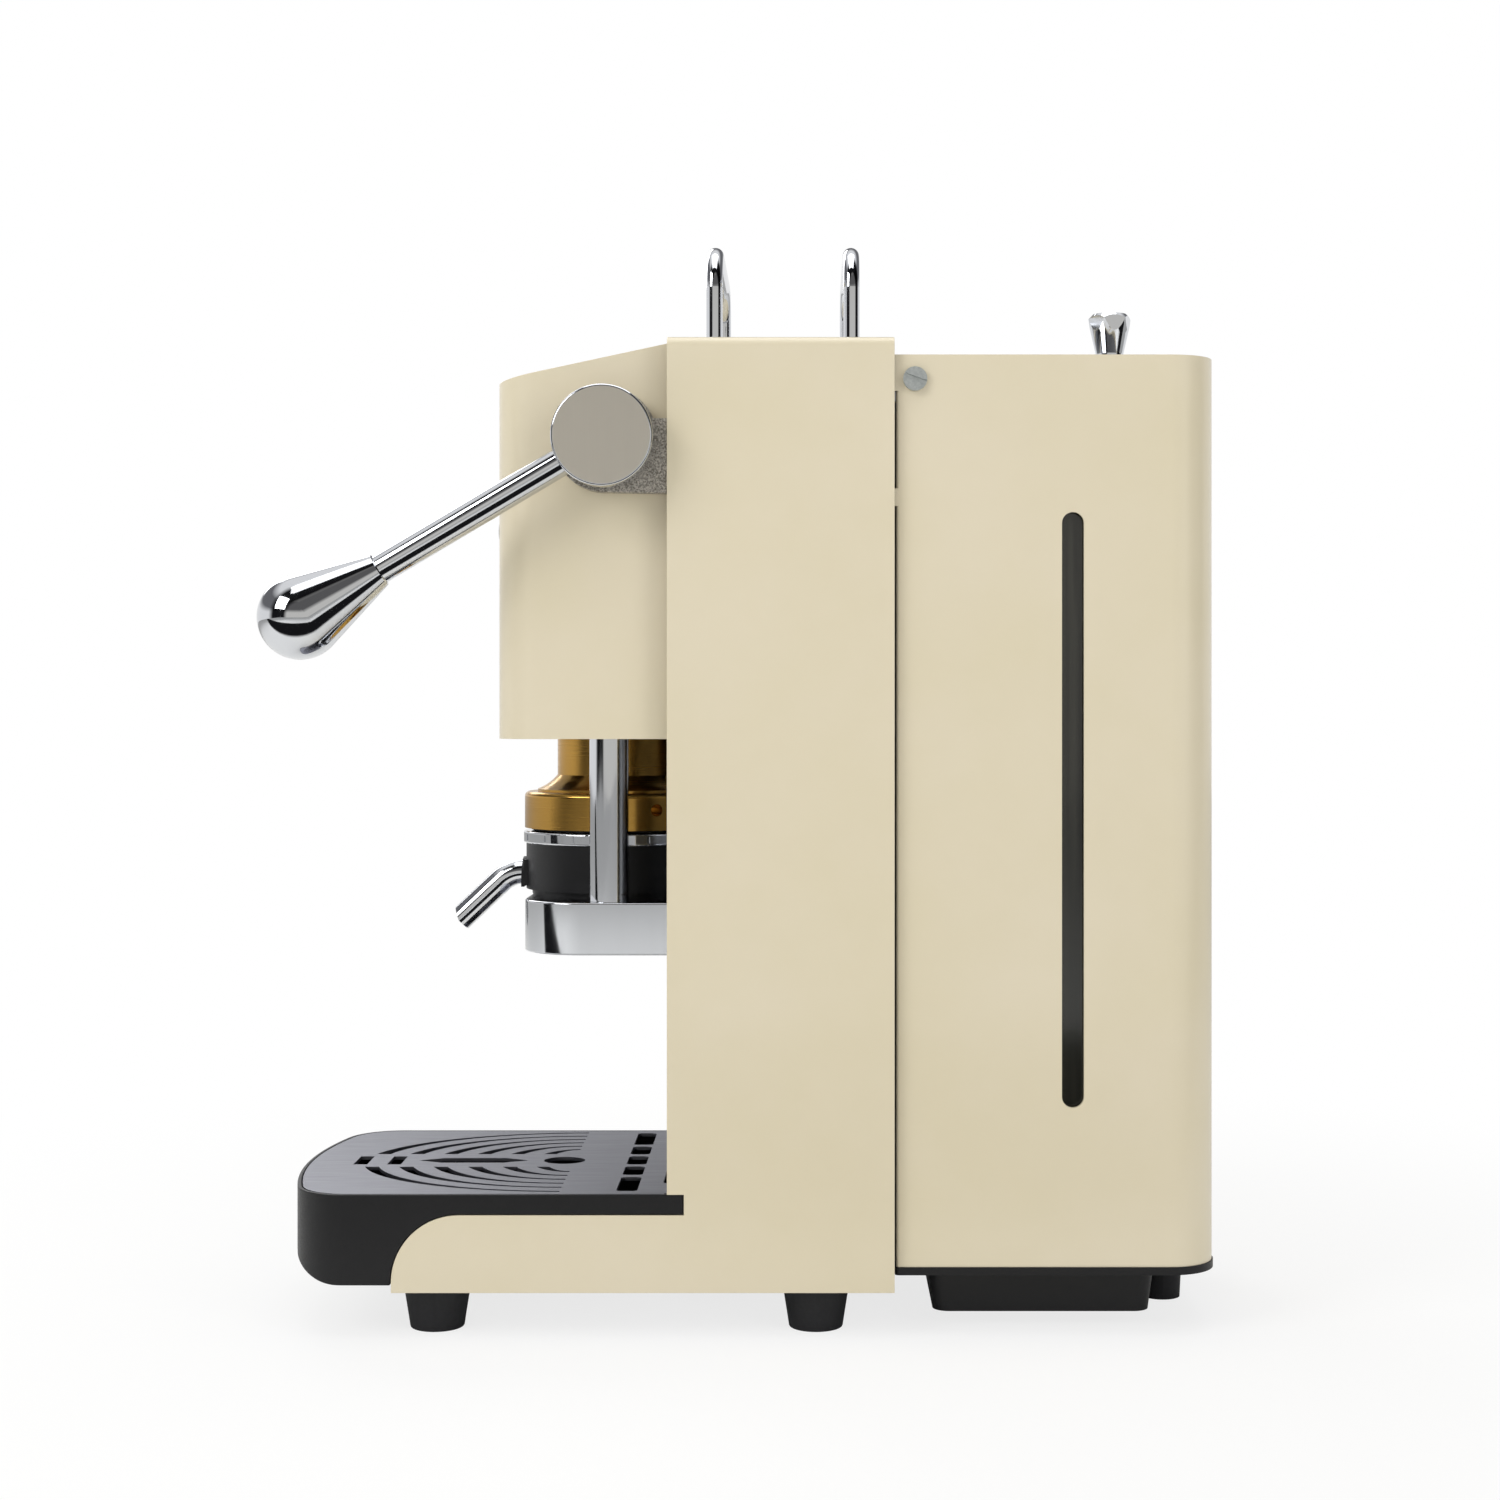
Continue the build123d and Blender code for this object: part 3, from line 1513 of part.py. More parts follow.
def pointed_slot(y, length, width):
    """A slot with pointed ends, lying front to back on the middle line."""
    tip = width
    with BuildSketch() as slot:
        with BuildLine():
            Polyline(
                (0, y - length / 2),
                (width / 2, y - length / 2 + tip),
                (width / 2, y + length / 2 - tip),
                (0, y + length / 2),
                (-width / 2, y + length / 2 - tip),
                (-width / 2, y - length / 2 + tip),
                (0, y - length / 2),
            )
        make_face()
    return slot.sketch


with BuildPart() as drip_grid:
    with BuildSketch(Plane.XY.offset(grid_bottom)):
        add(tray_plan(tray_rim + body_gap))
        for side in (-1, 1):
            with Locations((side * (inner_half + overrun - grid_side_gap), tray_rear)):
                Rectangle(
                    2 * overrun, 2 * (tray_rear - column_front + grid_side_gap), mode=Mode.SUBTRACT
                )
        for ring in range(slit_count):
            inward = ring / (slit_count - 1)
            add(
                half_ellipse_slit(
                    slit_length - inward * (slit_length - slit_last_length),
                    slit_half_width - inward * (slit_half_width - slit_last_half_width),
                ),
                mode=Mode.SUBTRACT,
            )
        with Locations((0, centre_slot_front_y), (0, centre_slot_second_y)):
            Rectangle(2 * centre_slot_half, centre_slot_depth, mode=Mode.SUBTRACT)
        add(pointed_slot(lens_slot_y, lens_slot_length, lens_slot_width), mode=Mode.SUBTRACT)
        with Locations((0, lens_hole_y)):
            Ellipse(lens_hole_width / 2, lens_hole_length / 2, mode=Mode.SUBTRACT)
        inner_step = rear_slot_inner + rear_slot_rib
        for step in (-1, 0, 1):
            with Locations((step * inner_step, rear_slot_y)):
                RectangleRounded(
                    rear_slot_inner, rear_slot_depth, rear_slot_rounding, mode=Mode.SUBTRACT
                )
        outer_x = 1.5 * rear_slot_inner + 2 * rear_slot_rib + rear_slot_outer / 2
        with Locations((outer_x, rear_slot_y), (-outer_x, rear_slot_y)):
            RectangleRounded(
                rear_slot_outer, rear_slot_depth, rear_slot_rounding, mode=Mode.SUBTRACT
            )
        with Locations((finger_slot_x, finger_slot_y), (-finger_slot_x, finger_slot_y)):
            RectangleRounded(
                finger_slot_width, finger_slot_depth, rear_slot_rounding, mode=Mode.SUBTRACT
            )
    extrude(amount=grid_thickness)
drip_grid.part.label = "drip_grid"
export_step(drip_grid.part, "parts/drip_grid.step")

# Brew button: bezel, domed cap with a stem, and the switch that it presses
def front_disc(front, rear, radius):
    """A round piece lying along Y between two places, centred on the button."""
    with BuildPart() as disc:
        with BuildSketch(Plane.XZ.offset(-rear)):
            with Locations((0, button_z)):
                Circle(radius)
        extrude(amount=rear - front)
    return disc.part


bezel_front = hood_front - button_flange_height
with BuildPart() as button_bezel:
    add(front_disc(bezel_front, hood_front, button_flange))
    fillet(button_bezel.faces().sort_by(Axis.Y)[0].edges(), radius=button_flange_rounding)
    add(front_disc(hood_front, button_switch_rear, button_sleeve))
    add(front_disc(bezel_front - overrun, button_switch_rear + overrun, button_bore), mode=Mode.SUBTRACT)
button_bezel.part.label = "button_bezel"
export_step(button_bezel.part, "parts/button_bezel.step")

cap_front = hood_front - button_proud
cap_rear = button_switch_front - button_skirt
with BuildPart() as brew_button:
    add(front_disc(cap_front + button_dome, cap_rear, button_radius))
    with BuildSketch(Plane.YZ) as dome:
        with BuildLine():
            edge_y = cap_front + button_dome
            ThreePointArc(
                (edge_y, button_z + button_radius),
                (cap_front, button_z),
                (edge_y, button_z - button_radius),
            )
            Line((edge_y, button_z - button_radius), (edge_y, button_z + button_radius))
        make_face()
        with Locations((edge_y, button_z)):
            Rectangle(
                2 * button_dome, 2 * button_radius, align=(Align.CENTER, Align.MAX), mode=Mode.SUBTRACT
            )
    revolve(axis=Axis((0, 0, button_z), (0, 1, 0)))
    add(front_disc(cap_rear - button_recess_depth, cap_rear, button_recess_radius), mode=Mode.SUBTRACT)
    add(front_disc(cap_rear - button_recess_depth, button_stem_end, button_stem_radius))
brew_button.part.label = "brew_button"
export_step(brew_button.part, "parts/brew_button.step")

with BuildPart() as button_switch:
    add(front_disc(button_switch_front, button_switch_rear, button_bore))
    add(
        front_disc(
            button_switch_front, button_switch_front + button_stem_hole_depth, button_stem_bore
        ),
        mode=Mode.SUBTRACT,
    )
button_switch.part.label = "button_switch"
export_step(button_switch.part, "parts/button_switch.step")


# Tank housing: a folded steel box behind the column with a window slot in each side

def housing_plan(inset, front):
    """Plan of the housing with large rear corners and small front ones."""
    half = housing_half - inset
    rear = housing_rear - inset
    with BuildSketch() as plan:
        with Locations((0, (front + rear) / 2)):
            Rectangle(2 * half, rear - front)
        fillet(plan.vertices().group_by(Axis.Y)[-1], radius=housing_corner - inset)
        fillet(
            plan.vertices().group_by(Axis.Y)[0],
            radius=max(housing_front_corner - inset, edge_break),
        )
    return plan.sketch


with BuildPart() as tank_housing:
    with BuildSketch(Plane.XY.offset(housing_bottom)):
        add(housing_plan(0, housing_front))
    extrude(amount=housing_top - housing_bottom)
    with BuildSketch(Plane.XY.offset(housing_bottom - overrun)):
        add(housing_plan(sheet, housing_front + sheet))
    extrude(amount=housing_top - housing_bottom + 2 * overrun, mode=Mode.SUBTRACT)
    add(
        plan_box(
            -housing_half + sheet,
            housing_half - sheet,
            housing_front - overrun,
            housing_front + 2 * sheet,
            housing_front_wall_top,
            housing_top + overrun,
        ),
        mode=Mode.SUBTRACT,
    )
    for low, high in ((tab_upper_low, housing_top), (tab_lower_low, tab_lower_high)):
        for side in (-1, 1):
            ends = sorted((side * housing_half, side * (housing_half - sheet)))
            add(
                plan_box(
                    ends[0],
                    ends[1],
                    housing_front - tab_reach,
                    housing_front + housing_front_corner,
                    low,
                    high,
                )
            )
    with BuildSketch(Plane.YZ.offset(-half_body)):
        with Locations((window_y, (window_low + window_high) / 2)):
            SlotOverall(window_high - window_low, window_width, rotation=quarter_turn)
        with Locations((tank_screw_y, tank_screw_z)):
            Circle(tank_screw_radius + running_gap)
    extrude(amount=body_width, mode=Mode.SUBTRACT)
    with BuildSketch(Plane.XZ.offset(-housing_front - overrun)):
        with Locations((0, intake_z)):
            Circle(hose_radius + body_gap)
    extrude(amount=2 * overrun, mode=Mode.SUBTRACT)
tank_housing.part.label = "tank_housing"
export_step(tank_housing.part, "parts/tank_housing.step")

with BuildPart() as tank_screws:
    for side in (-1, 1):
        head_out = side * (housing_half + tank_screw_head_height)
        head_in = side * housing_half
        tail = side * (ear_outer - sheet - tank_screw_reach)
        head_ends = sorted((head_in, head_out))
        tail_ends = sorted((tail, head_in))
        add(round_bar(head_ends[0], head_ends[1], tank_screw_y, tank_screw_z, tank_screw_head))
        add(round_bar(tail_ends[0], tail_ends[1], tank_screw_y, tank_screw_z, tank_screw_radius))
        slot_ends = sorted((head_out - side * tank_screw_slot_depth, head_out + side * overrun))
        with BuildSketch(Plane.YZ.offset(slot_ends[0])):
            with Locations((tank_screw_y, tank_screw_z)):
                Rectangle(3 * tank_screw_head, tank_screw_slot, rotation=tank_screw_turn)
        extrude(amount=slot_ends[1] - slot_ends[0], mode=Mode.SUBTRACT)
tank_screws.part.label = "tank_screws"
export_step(tank_screws.part, "parts/tank_screws.step")

# Black base under the housing: a flange, a lip inside the walls, a tub and the valve socket
tub_mid_y = (tub_front + tub_rear) / 2
tub_floor = tub_low + tub_wall
socket_top = housing_bottom
with BuildPart() as tank_base:
    with BuildSketch(Plane.XY.offset(flange_low)):
        add(housing_plan(-flange_lip, housing_front - flange_lip))
    extrude(amount=housing_bottom - flange_low)
    with BuildSketch(Plane.XY.offset(housing_bottom)):
        lip_outer = sheet + body_gap
        lip_inner = lip_outer + tank_shelf
        add(housing_plan(lip_outer, housing_front + lip_outer))
        add(housing_plan(lip_inner, housing_front + lip_inner), mode=Mode.SUBTRACT)
    extrude(amount=tank_low - housing_bottom - body_gap)
    with BuildSketch(Plane.XY.offset(tub_low)):
        with Locations((0, tub_mid_y)):
            RectangleRounded(
                2 * (tub_half - tub_draft), tub_rear - tub_front - 2 * tub_draft, tub_corner
            )
    with BuildSketch(Plane.XY.offset(flange_low)):
        with Locations((0, tub_mid_y)):
            RectangleRounded(2 * tub_half, tub_rear - tub_front, tub_corner)
    loft()
    with BuildSketch(Plane.XY.offset(tub_floor)):
        with Locations((0, tub_mid_y)):
            RectangleRounded(
                2 * (tub_half - tub_draft - tub_wall),
                tub_rear - tub_front - 2 * tub_draft - 2 * tub_wall,
                tub_corner - tub_wall,
            )
    extrude(amount=housing_bottom - tub_floor + overrun, mode=Mode.SUBTRACT)
    with BuildSketch(Plane.XY.offset(tub_floor)):
        with Locations((0, valve_y)):
            Circle(valve_radius + body_gap + socket_wall)
            Circle(valve_radius + body_gap, mode=Mode.SUBTRACT)
    extrude(amount=socket_top - tub_floor)
    socket_front = valve_y - valve_radius - body_gap - socket_wall
    with BuildSketch(Plane.XZ.offset(-socket_front - socket_wall)):
        with Locations((0, hose_level)):
            Circle(nipple_radius)
    extrude(amount=socket_wall + nipple_length)
    with BuildSketch(Plane.XZ.offset(-tub_front - 2 * tub_draft - tub_wall)):
        with Locations((0, hose_level)):
            Circle(hose_radius + body_gap)
    extrude(amount=4 * tub_draft + 2 * tub_wall, mode=Mode.SUBTRACT)
    with BuildSketch(Plane.XY.offset(flange_low - overrun)):
        with Locations((0, intake_y)):
            Circle(hose_radius + body_gap)
    extrude(amount=3 * overrun, mode=Mode.SUBTRACT)
tank_base.part.label = "tank_base"
export_step(tank_base.part, "parts/tank_base.step")

# Water tank: smoky plastic, open on top, with the outlet valve under its floor
tank_half = housing_half - sheet - tank_side_gap
tank_rear = housing_rear - sheet - tank_rear_gap
tank_mid_y = (tank_front + tank_rear) / 2
with BuildPart() as water_tank:
    with BuildSketch(Plane.XY.offset(tank_low)):
        with Locations((0, tank_mid_y)):
            RectangleRounded(2 * tank_half, tank_rear - tank_front, tank_corner)
    extrude(amount=tank_top - tank_low)
    with BuildSketch(Plane.XY.offset(tank_low + tank_wall)):
        with Locations((0, tank_mid_y)):
            RectangleRounded(
                2 * (tank_half - tank_wall),
                tank_rear - tank_front - 2 * tank_wall,
                tank_corner - tank_wall,
            )
    extrude(amount=tank_top - tank_low, mode=Mode.SUBTRACT)
    with BuildSketch(Plane.XY.offset(tank_low)):
        with Locations((0, valve_y)):
            Circle(valve_radius)
    extrude(amount=-valve_drop)
    with BuildSketch(Plane.XY.offset(tank_low - valve_drop)):
        with Locations((0, valve_y)):
            Circle(valve_bore)
    extrude(amount=valve_drop + tank_wall + overrun, mode=Mode.SUBTRACT)
water_tank.part.label = "water_tank"
export_step(water_tank.part, "parts/water_tank.step")

# Lid: lies in the housing's open top, with a skirt that drops into the tank
with BuildPart() as tank_lid:
    lid_inset = sheet + lid_edge_gap
    with BuildSketch(Plane.XY.offset(lid_seat)) as lid_outline:
        with Locations((0, (housing_front + housing_rear) / 2)):
            Rectangle(
                2 * (housing_half - lid_inset), housing_rear - housing_front - 2 * lid_inset
            )
        fillet(lid_outline.vertices().group_by(Axis.Y)[-1], radius=lid_corner)
        fillet(lid_outline.vertices().group_by(Axis.Y)[0], radius=housing_front_corner)
    extrude(amount=lid_thickness)
    skirt_half = tank_half - tank_wall - lid_skirt_gap
    skirt_front = tank_front + tank_wall + lid_skirt_gap
    skirt_rear = tank_rear - tank_wall - lid_skirt_gap
    with BuildSketch(Plane.XY.offset(lid_seat)):
        with Locations((0, tank_mid_y)):
            RectangleRounded(
                2 * skirt_half, skirt_rear - skirt_front, tank_corner - tank_wall - lid_skirt_gap
            )
            RectangleRounded(
                2 * (skirt_half - lid_skirt_wall),
                skirt_rear - skirt_front - 2 * lid_skirt_wall,
                tank_corner - tank_wall - lid_skirt_gap - lid_skirt_wall,
                mode=Mode.SUBTRACT,
            )
    extrude(amount=-lid_skirt)
tank_lid.part.label = "tank_lid"
export_step(tank_lid.part, "parts/tank_lid.step")

# Lid knob: a chrome cone that widens upwards, with flats that cut scallops into its head
lid_top = lid_seat + lid_thickness
with BuildPart() as lid_knob:
    with BuildSketch(Plane.XY.offset(lid_top)):
        with Locations((0, lid_knob_y)):
            Circle(lid_knob_stem)
    with BuildSketch(Plane.XY.offset(lid_knob_neck_z)):
        with Locations((0, lid_knob_y)):
            Circle(lid_knob_neck)
    loft()
    with BuildSketch(Plane.XY.offset(lid_knob_neck_z)):
        with Locations((0, lid_knob_y)):
            Circle(lid_knob_neck)
    with BuildSketch(Plane.XY.offset(lid_knob_wide_z)):
        with Locations((0, lid_knob_y)):
            Circle(lid_knob_wide)
    loft()
    with BuildSketch(Plane.XY.offset(lid_knob_wide_z)):
        with Locations((0, lid_knob_y)):
            Circle(lid_knob_wide)
    with BuildSketch(Plane.XY.offset(lid_knob_top)):
        with Locations((0, lid_knob_y)):
            Circle(lid_knob_top_radius)
    loft()
    with BuildSketch(Plane.XY.offset(lid_top)):
        with Locations((0, lid_knob_y)):
            RegularPolygon(
                lid_knob_flat, lid_knob_facets, major_radius=False, rotation=lid_knob_turn
            )
    extrude(amount=lid_knob_top - lid_top, mode=Mode.INTERSECT)
lid_knob.part.label = "lid_knob"
export_step(lid_knob.part, "parts/lid_knob.step")

# Boiler against the chassis, with the thermostat on its top as a second solid
with BuildPart() as boiler:
    with BuildSketch(Plane.XY.offset(boiler_low)):
        with Locations((0, boiler_y)):
            Circle(boiler_radius)
    extrude(amount=boiler_high - boiler_low)
    fillet(boiler.edges().filter_by(GeomType.CIRCLE), radius=boiler_rounding)
    with BuildSketch(Plane.XZ.offset(-boiler_y)):
        with Locations((0, boiler_port_z)):
            Circle(boiler_boss)
    extrude(amount=boiler_y - frame_rear - boiler_boss_gap)
    for z in (boiler_low + boiler_foot_inset, boiler_high - boiler_foot_inset):
        add(
            plan_box(
                -boiler_foot_half,
                boiler_foot_half,
                frame_rear,
                boiler_y,
                z - boiler_foot_half / 2,
                z + boiler_foot_half / 2,
            )
        )
    with BuildSketch(Plane.XY.offset(boiler_low)):
        with Locations((0, boiler_y)):
            Circle(nipple_radius)
    extrude(amount=-boiler_nipple)
    with BuildSketch(Plane.XY.offset(boiler_high)):
        with Locations((0, boiler_y)):
            Circle(thermostat_radius)
    extrude(amount=thermostat_height)
boiler.part.label = "boiler"
export_step(boiler.part, "parts/boiler.step")

# Rigid pipe from the boiler through the chassis window, ending above the head's inlet
port_y = frame_rear + boiler_boss_gap
with BuildPart() as boiler_pipe:
    with BuildLine() as pipe_route:
        FilletPolyline(
            (0, port_y, boiler_port_z),
            (0, inlet_y, boiler_port_z),
            (0, inlet_y, head_hose_top),
            radius=pipe_bend,
        )
    with BuildSketch(Plane(origin=(0, port_y, boiler_port_z), z_dir=(0, -1, 0))):
        Circle(pipe_radius)
        Circle(pipe_bore, mode=Mode.SUBTRACT)
    sweep(path=pipe_route.line)
boiler_pipe.part.label = "boiler_pipe"
export_step(boiler_pipe.part, "parts/boiler_pipe.step")

# Vibration pump standing in the column on its own bracket
with BuildPart() as pump:
    with BuildSketch(Plane.XY.offset(pump_low)):
        with Locations((pump_x, pump_y)):
            RectangleRounded(2 * pump_half_x, 2 * pump_half_y, pump_rounding)
    extrude(amount=pump_high - pump_low)
    with BuildSketch(Plane.XY.offset(pump_core_low)):
        with Locations((pump_x, pump_y)):
            Circle(pump_core_radius)
    extrude(amount=pump_core_high - pump_core_low)
    with BuildSketch(Plane.XY.offset(pump_core_low - pump_nipple_length)):
        with Locations((pump_x, pump_y)):
            Circle(nipple_radius)
    extrude(amount=pump_core_high - pump_core_low + 2 * pump_nipple_length)
    bracket_half_y = pump_half_y - pump_rounding
    with BuildSketch(Plane.XZ.offset(-pump_y + bracket_half_y)) as bracket:
        with BuildLine():
            wide = pump_half_x + pump_bracket_wall
            Polyline(
                (pump_x - wide, pump_low + pump_bracket_wall),
                (pump_x - wide, pan_top),
                (pump_x + wide, pan_top),
                (pump_x + wide, pump_low + pump_bracket_wall),
                (pump_x - wide, pump_low + pump_bracket_wall),
            )
        make_face()
        with Locations((pump_x, (pan_top + pump_bracket_wall + pump_low - pump_bracket_wall) / 2)):
            Rectangle(2 * pump_half_x, pump_low - pan_top - 2 * pump_bracket_wall, mode=Mode.SUBTRACT)
        with Locations((pump_x, pump_low)):
            Rectangle(
                2 * (pump_core_radius + body_gap), 4 * pump_bracket_wall, mode=Mode.SUBTRACT
            )
    extrude(amount=-2 * bracket_half_y)
    with BuildSketch(Plane.XY.offset(pan_top)):
        with Locations((foot_x, foot_rear_y)):
            Circle(foot_screw_radius + running_gap)
    extrude(amount=pump_bracket_wall, mode=Mode.SUBTRACT)
    add(
        plan_box(
            pump_x - wide - overrun,
            pump_x,
            pump_y - hose_radius - body_gap,
            pump_y + hose_radius + body_gap,
            intake_z - hose_radius - body_gap,
            intake_z + hose_radius + body_gap,
        ),
        mode=Mode.SUBTRACT,
    )
pump.part.label = "pump"
export_step(pump.part, "parts/pump.step")


def hose(points, bend, radius, bore):
    """A flexible tube along straight runs joined by arcs."""
    first = Vector(*points[0])
    second = Vector(*points[1])
    with BuildPart() as tube:
        with BuildLine() as route:
            FilletPolyline(*points, radius=bend)
        with BuildSketch(Plane(origin=first, z_dir=second - first)):
            Circle(radius)
            Circle(bore, mode=Mode.SUBTRACT)
        sweep(path=route.line)
    return tube.part


with BuildPart() as intake_hose:
    add(
        hose(
            [
                (0, socket_front - seat_gap, hose_level),
                (0, intake_y, hose_level),
                (0, intake_y, intake_z),
                (0, pump_y, intake_z),
                (pump_x, pump_y, intake_z),
                (pump_x, pump_y, pump_core_low - seat_gap),
            ],
            hose_bend,
            hose_radius,
            hose_bore,
        )
    )
intake_hose.part.label = "intake_hose"
export_step(intake_hose.part, "parts/intake_hose.step")

with BuildPart() as feed_hose:
    add(
        hose(
            [
                (pump_x, pump_y, pump_core_high + seat_gap),
                (pump_x, pump_y, feed_turn_z),
                (0, boiler_y, feed_turn_z),
                (0, boiler_y, boiler_low - seat_gap),
            ],
            hose_bend,
            hose_radius,
            hose_bore,
        )
    )
feed_hose.part.label = "feed_hose"
export_step(feed_hose.part, "parts/feed_hose.step")

# Control board on four posts from the left side, with its relay
with BuildPart() as control_board:
    add(
        plan_box(board_x - board_thickness, board_x, board_front, board_rear, board_low, board_high)
    )
    add(
        plan_box(
            board_x,
            board_x + board_relay_height,
            board_front + board_post_inset,
            board_front + board_post_inset + board_relay,
            board_low + board_relay,
            board_low + 2 * board_relay,
        )
    )
    for y in (board_front + board_post_inset, board_rear - board_post_inset):
        for z in (board_low + board_post_inset, board_high - board_post_inset):
            add(round_bar(-inner_half, board_x - board_thickness, y, z, board_post_radius))
control_board.part.label = "control_board"
export_step(control_board.part, "parts/control_board.step")

# Power switch: a housing in the left side and a rocker on a pin
with BuildPart() as switch_housing:
    add(
        plan_box(
            -half_body - switch_flange_proud,
            -half_body,
            switch_y - switch_half_width - switch_flange,
            switch_y + switch_half_width + switch_flange,
            switch_z - switch_half_height - switch_flange,
            switch_z + switch_half_height + switch_flange,
        )
    )
    add(
        plan_box(
            -half_body,
            -half_body + switch_depth,
            switch_y - switch_half_width + seat_gap,
            switch_y + switch_half_width - seat_gap,
            switch_z - switch_half_height + seat_gap,
            switch_z + switch_half_height - seat_gap,
        )
    )
    add(
        plan_box(
            -half_body - overrun,
            rocker_pivot_x + rocker_half_height / 2,
            switch_y - rocker_half_width - body_gap,
            switch_y + rocker_half_width + body_gap,
            switch_z - rocker_half_height - rocker_end_gap,
            switch_z + rocker_half_height + rocker_end_gap,
        ),
        mode=Mode.SUBTRACT,
    )
    with BuildSketch(Plane.XZ.offset(-switch_y - switch_half_width + seat_gap + switch_wall / 2)):
        with Locations((rocker_pivot_x, switch_z)):
            Circle(rocker_pin_radius + running_gap)
    extrude(amount=2 * switch_half_width - switch_wall - 2 * seat_gap, mode=Mode.SUBTRACT)
switch_housing.part.label = "switch_housing"
export_step(switch_housing.part, "parts/switch_housing.step")

with BuildPart() as power_rocker:
    with BuildSketch(Plane.XZ.offset(-switch_y - rocker_half_width)):
        with BuildLine():
            low = (rocker_face_x, switch_z - rocker_half_height)
            high = (rocker_face_x, switch_z + rocker_half_height)
            ThreePointArc(low, (rocker_face_x + rocker_crown, switch_z), high)
            Polyline(
                high,
                (rocker_pivot_x - rocker_pin_radius, switch_z + rocker_half_height),
                (rocker_pivot_x + 2 * rocker_pin_radius, switch_z + rocker_pin_radius),
                (rocker_pivot_x + 2 * rocker_pin_radius, switch_z - rocker_pin_radius),
                (rocker_pivot_x - rocker_pin_radius, switch_z - rocker_half_height),
                low,
            )
        make_face()
    extrude(amount=2 * rocker_half_width)
    with BuildSketch(Plane.XZ.offset(-switch_y - switch_half_width + switch_wall)):
        with Locations((rocker_pivot_x, switch_z)):
            Circle(rocker_pin_radius)
    extrude(amount=2 * switch_half_width - 2 * switch_wall)
power_rocker.part.label = "power_rocker"
export_step(power_rocker.part, "parts/power_rocker.step")

# Cable gland low on the left side, left without its lead
with BuildPart() as cable_gland:
    add(round_bar(-half_body - gland_flange_thickness, -half_body, gland_y, gland_z, gland_flange))
    add(round_bar(-half_body, -inner_half + gland_nose, gland_y, gland_z, gland_radius))
    with BuildSketch(Plane.YZ.offset(-half_body - gland_flange_thickness)):
        with Locations((gland_y, gland_z)):
            Circle(gland_radius - edge_break)
    with BuildSketch(Plane.YZ.offset(-half_body - gland_flange_thickness - gland_nose)):
        with Locations((gland_y, gland_z)):
            Circle(gland_bore + 2 * edge_break)
    loft()
    add(
        round_bar(
            -half_body - gland_flange_thickness - gland_nose - overrun,
            -inner_half + gland_nose + overrun,
            gland_y,
            gland_z,
            gland_bore,
        ),
        mode=Mode.SUBTRACT,
    )
cable_gland.part.label = "cable_gland"
export_step(cable_gland.part, "parts/cable_gland.step")
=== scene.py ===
# %% [markdown]
# # Espresso pod machine
# This lesson dresses the measured model of a slim lever machine for coffee pods. The frame
# holds every solid of it, in metres, with +X towards the lever and the front at -Y. Most of
# the solids already have the right shape, so the work here is light, camera and finishes,
# and a few pieces whose edges and surfaces need more than a plain solid gives.

# %% Load the frame
import json
from math import cos, pi, radians, sin

import bpy
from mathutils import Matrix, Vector


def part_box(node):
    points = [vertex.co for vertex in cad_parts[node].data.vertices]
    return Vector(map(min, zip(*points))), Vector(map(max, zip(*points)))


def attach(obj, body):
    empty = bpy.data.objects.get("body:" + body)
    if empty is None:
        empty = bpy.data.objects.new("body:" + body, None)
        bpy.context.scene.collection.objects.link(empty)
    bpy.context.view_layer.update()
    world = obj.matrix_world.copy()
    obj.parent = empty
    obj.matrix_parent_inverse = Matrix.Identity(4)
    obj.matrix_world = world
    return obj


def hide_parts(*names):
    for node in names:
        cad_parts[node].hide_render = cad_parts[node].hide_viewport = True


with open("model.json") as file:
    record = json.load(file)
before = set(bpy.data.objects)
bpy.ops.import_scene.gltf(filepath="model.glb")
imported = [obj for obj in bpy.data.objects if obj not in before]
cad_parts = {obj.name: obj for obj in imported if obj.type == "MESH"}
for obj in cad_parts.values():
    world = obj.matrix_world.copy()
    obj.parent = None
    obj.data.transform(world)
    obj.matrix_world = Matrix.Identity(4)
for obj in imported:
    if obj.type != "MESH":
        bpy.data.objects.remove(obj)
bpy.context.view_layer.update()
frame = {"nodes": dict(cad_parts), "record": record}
nodes = frame["nodes"]
MM = 0.001

# %% [markdown]
# ## Small helpers
# Colours are easier to pick as the hex values a picture editor shows. Blender mixes light in
# linear numbers, so one function turns hex into linear. A second function adds a shader node,
# sets its options and either links or sets each input, which keeps the materials readable.
# Two more fill a colour ramp from a table of stops and mix two colours.

# %% Colour and node helpers
def colour(hex_value):
    """Linear RGBA from an sRGB hex value."""
    channels = [int(hex_value[i : i + 2], 16) / 255 for i in (1, 3, 5)]
    linear = [c / 12.92 if c <= 0.04045 else ((c + 0.055) / 1.055) ** 2.4 for c in channels]
    return (*linear, 1.0)


def add_node(tree, kind, settings=None, inputs=None):
    """Adds a node; an input given as a socket is linked, any other value is set."""
    node = tree.nodes.new(kind)
    for name, value in (settings or {}).items():
        setattr(node, name, value)
    for name, value in (inputs or {}).items():
        if isinstance(value, bpy.types.NodeSocket):
            tree.links.new(value, node.inputs[name])
        else:
            node.inputs[name].default_value = value
    return node


def add_ramp(tree, value, stops):
    """A colour ramp over 0 to 1; its ends take the colours of the first and last stop."""
    ramp = add_node(tree, "ShaderNodeValToRGB", inputs={"Fac": value})
    elements = ramp.color_ramp.elements
    for place, hex_value in stops:
        elements.new(place).color = colour(hex_value)
    elements[0].color = colour(stops[0][1])
    elements[-1].color = colour(stops[-1][1])
    return ramp.outputs["Color"]


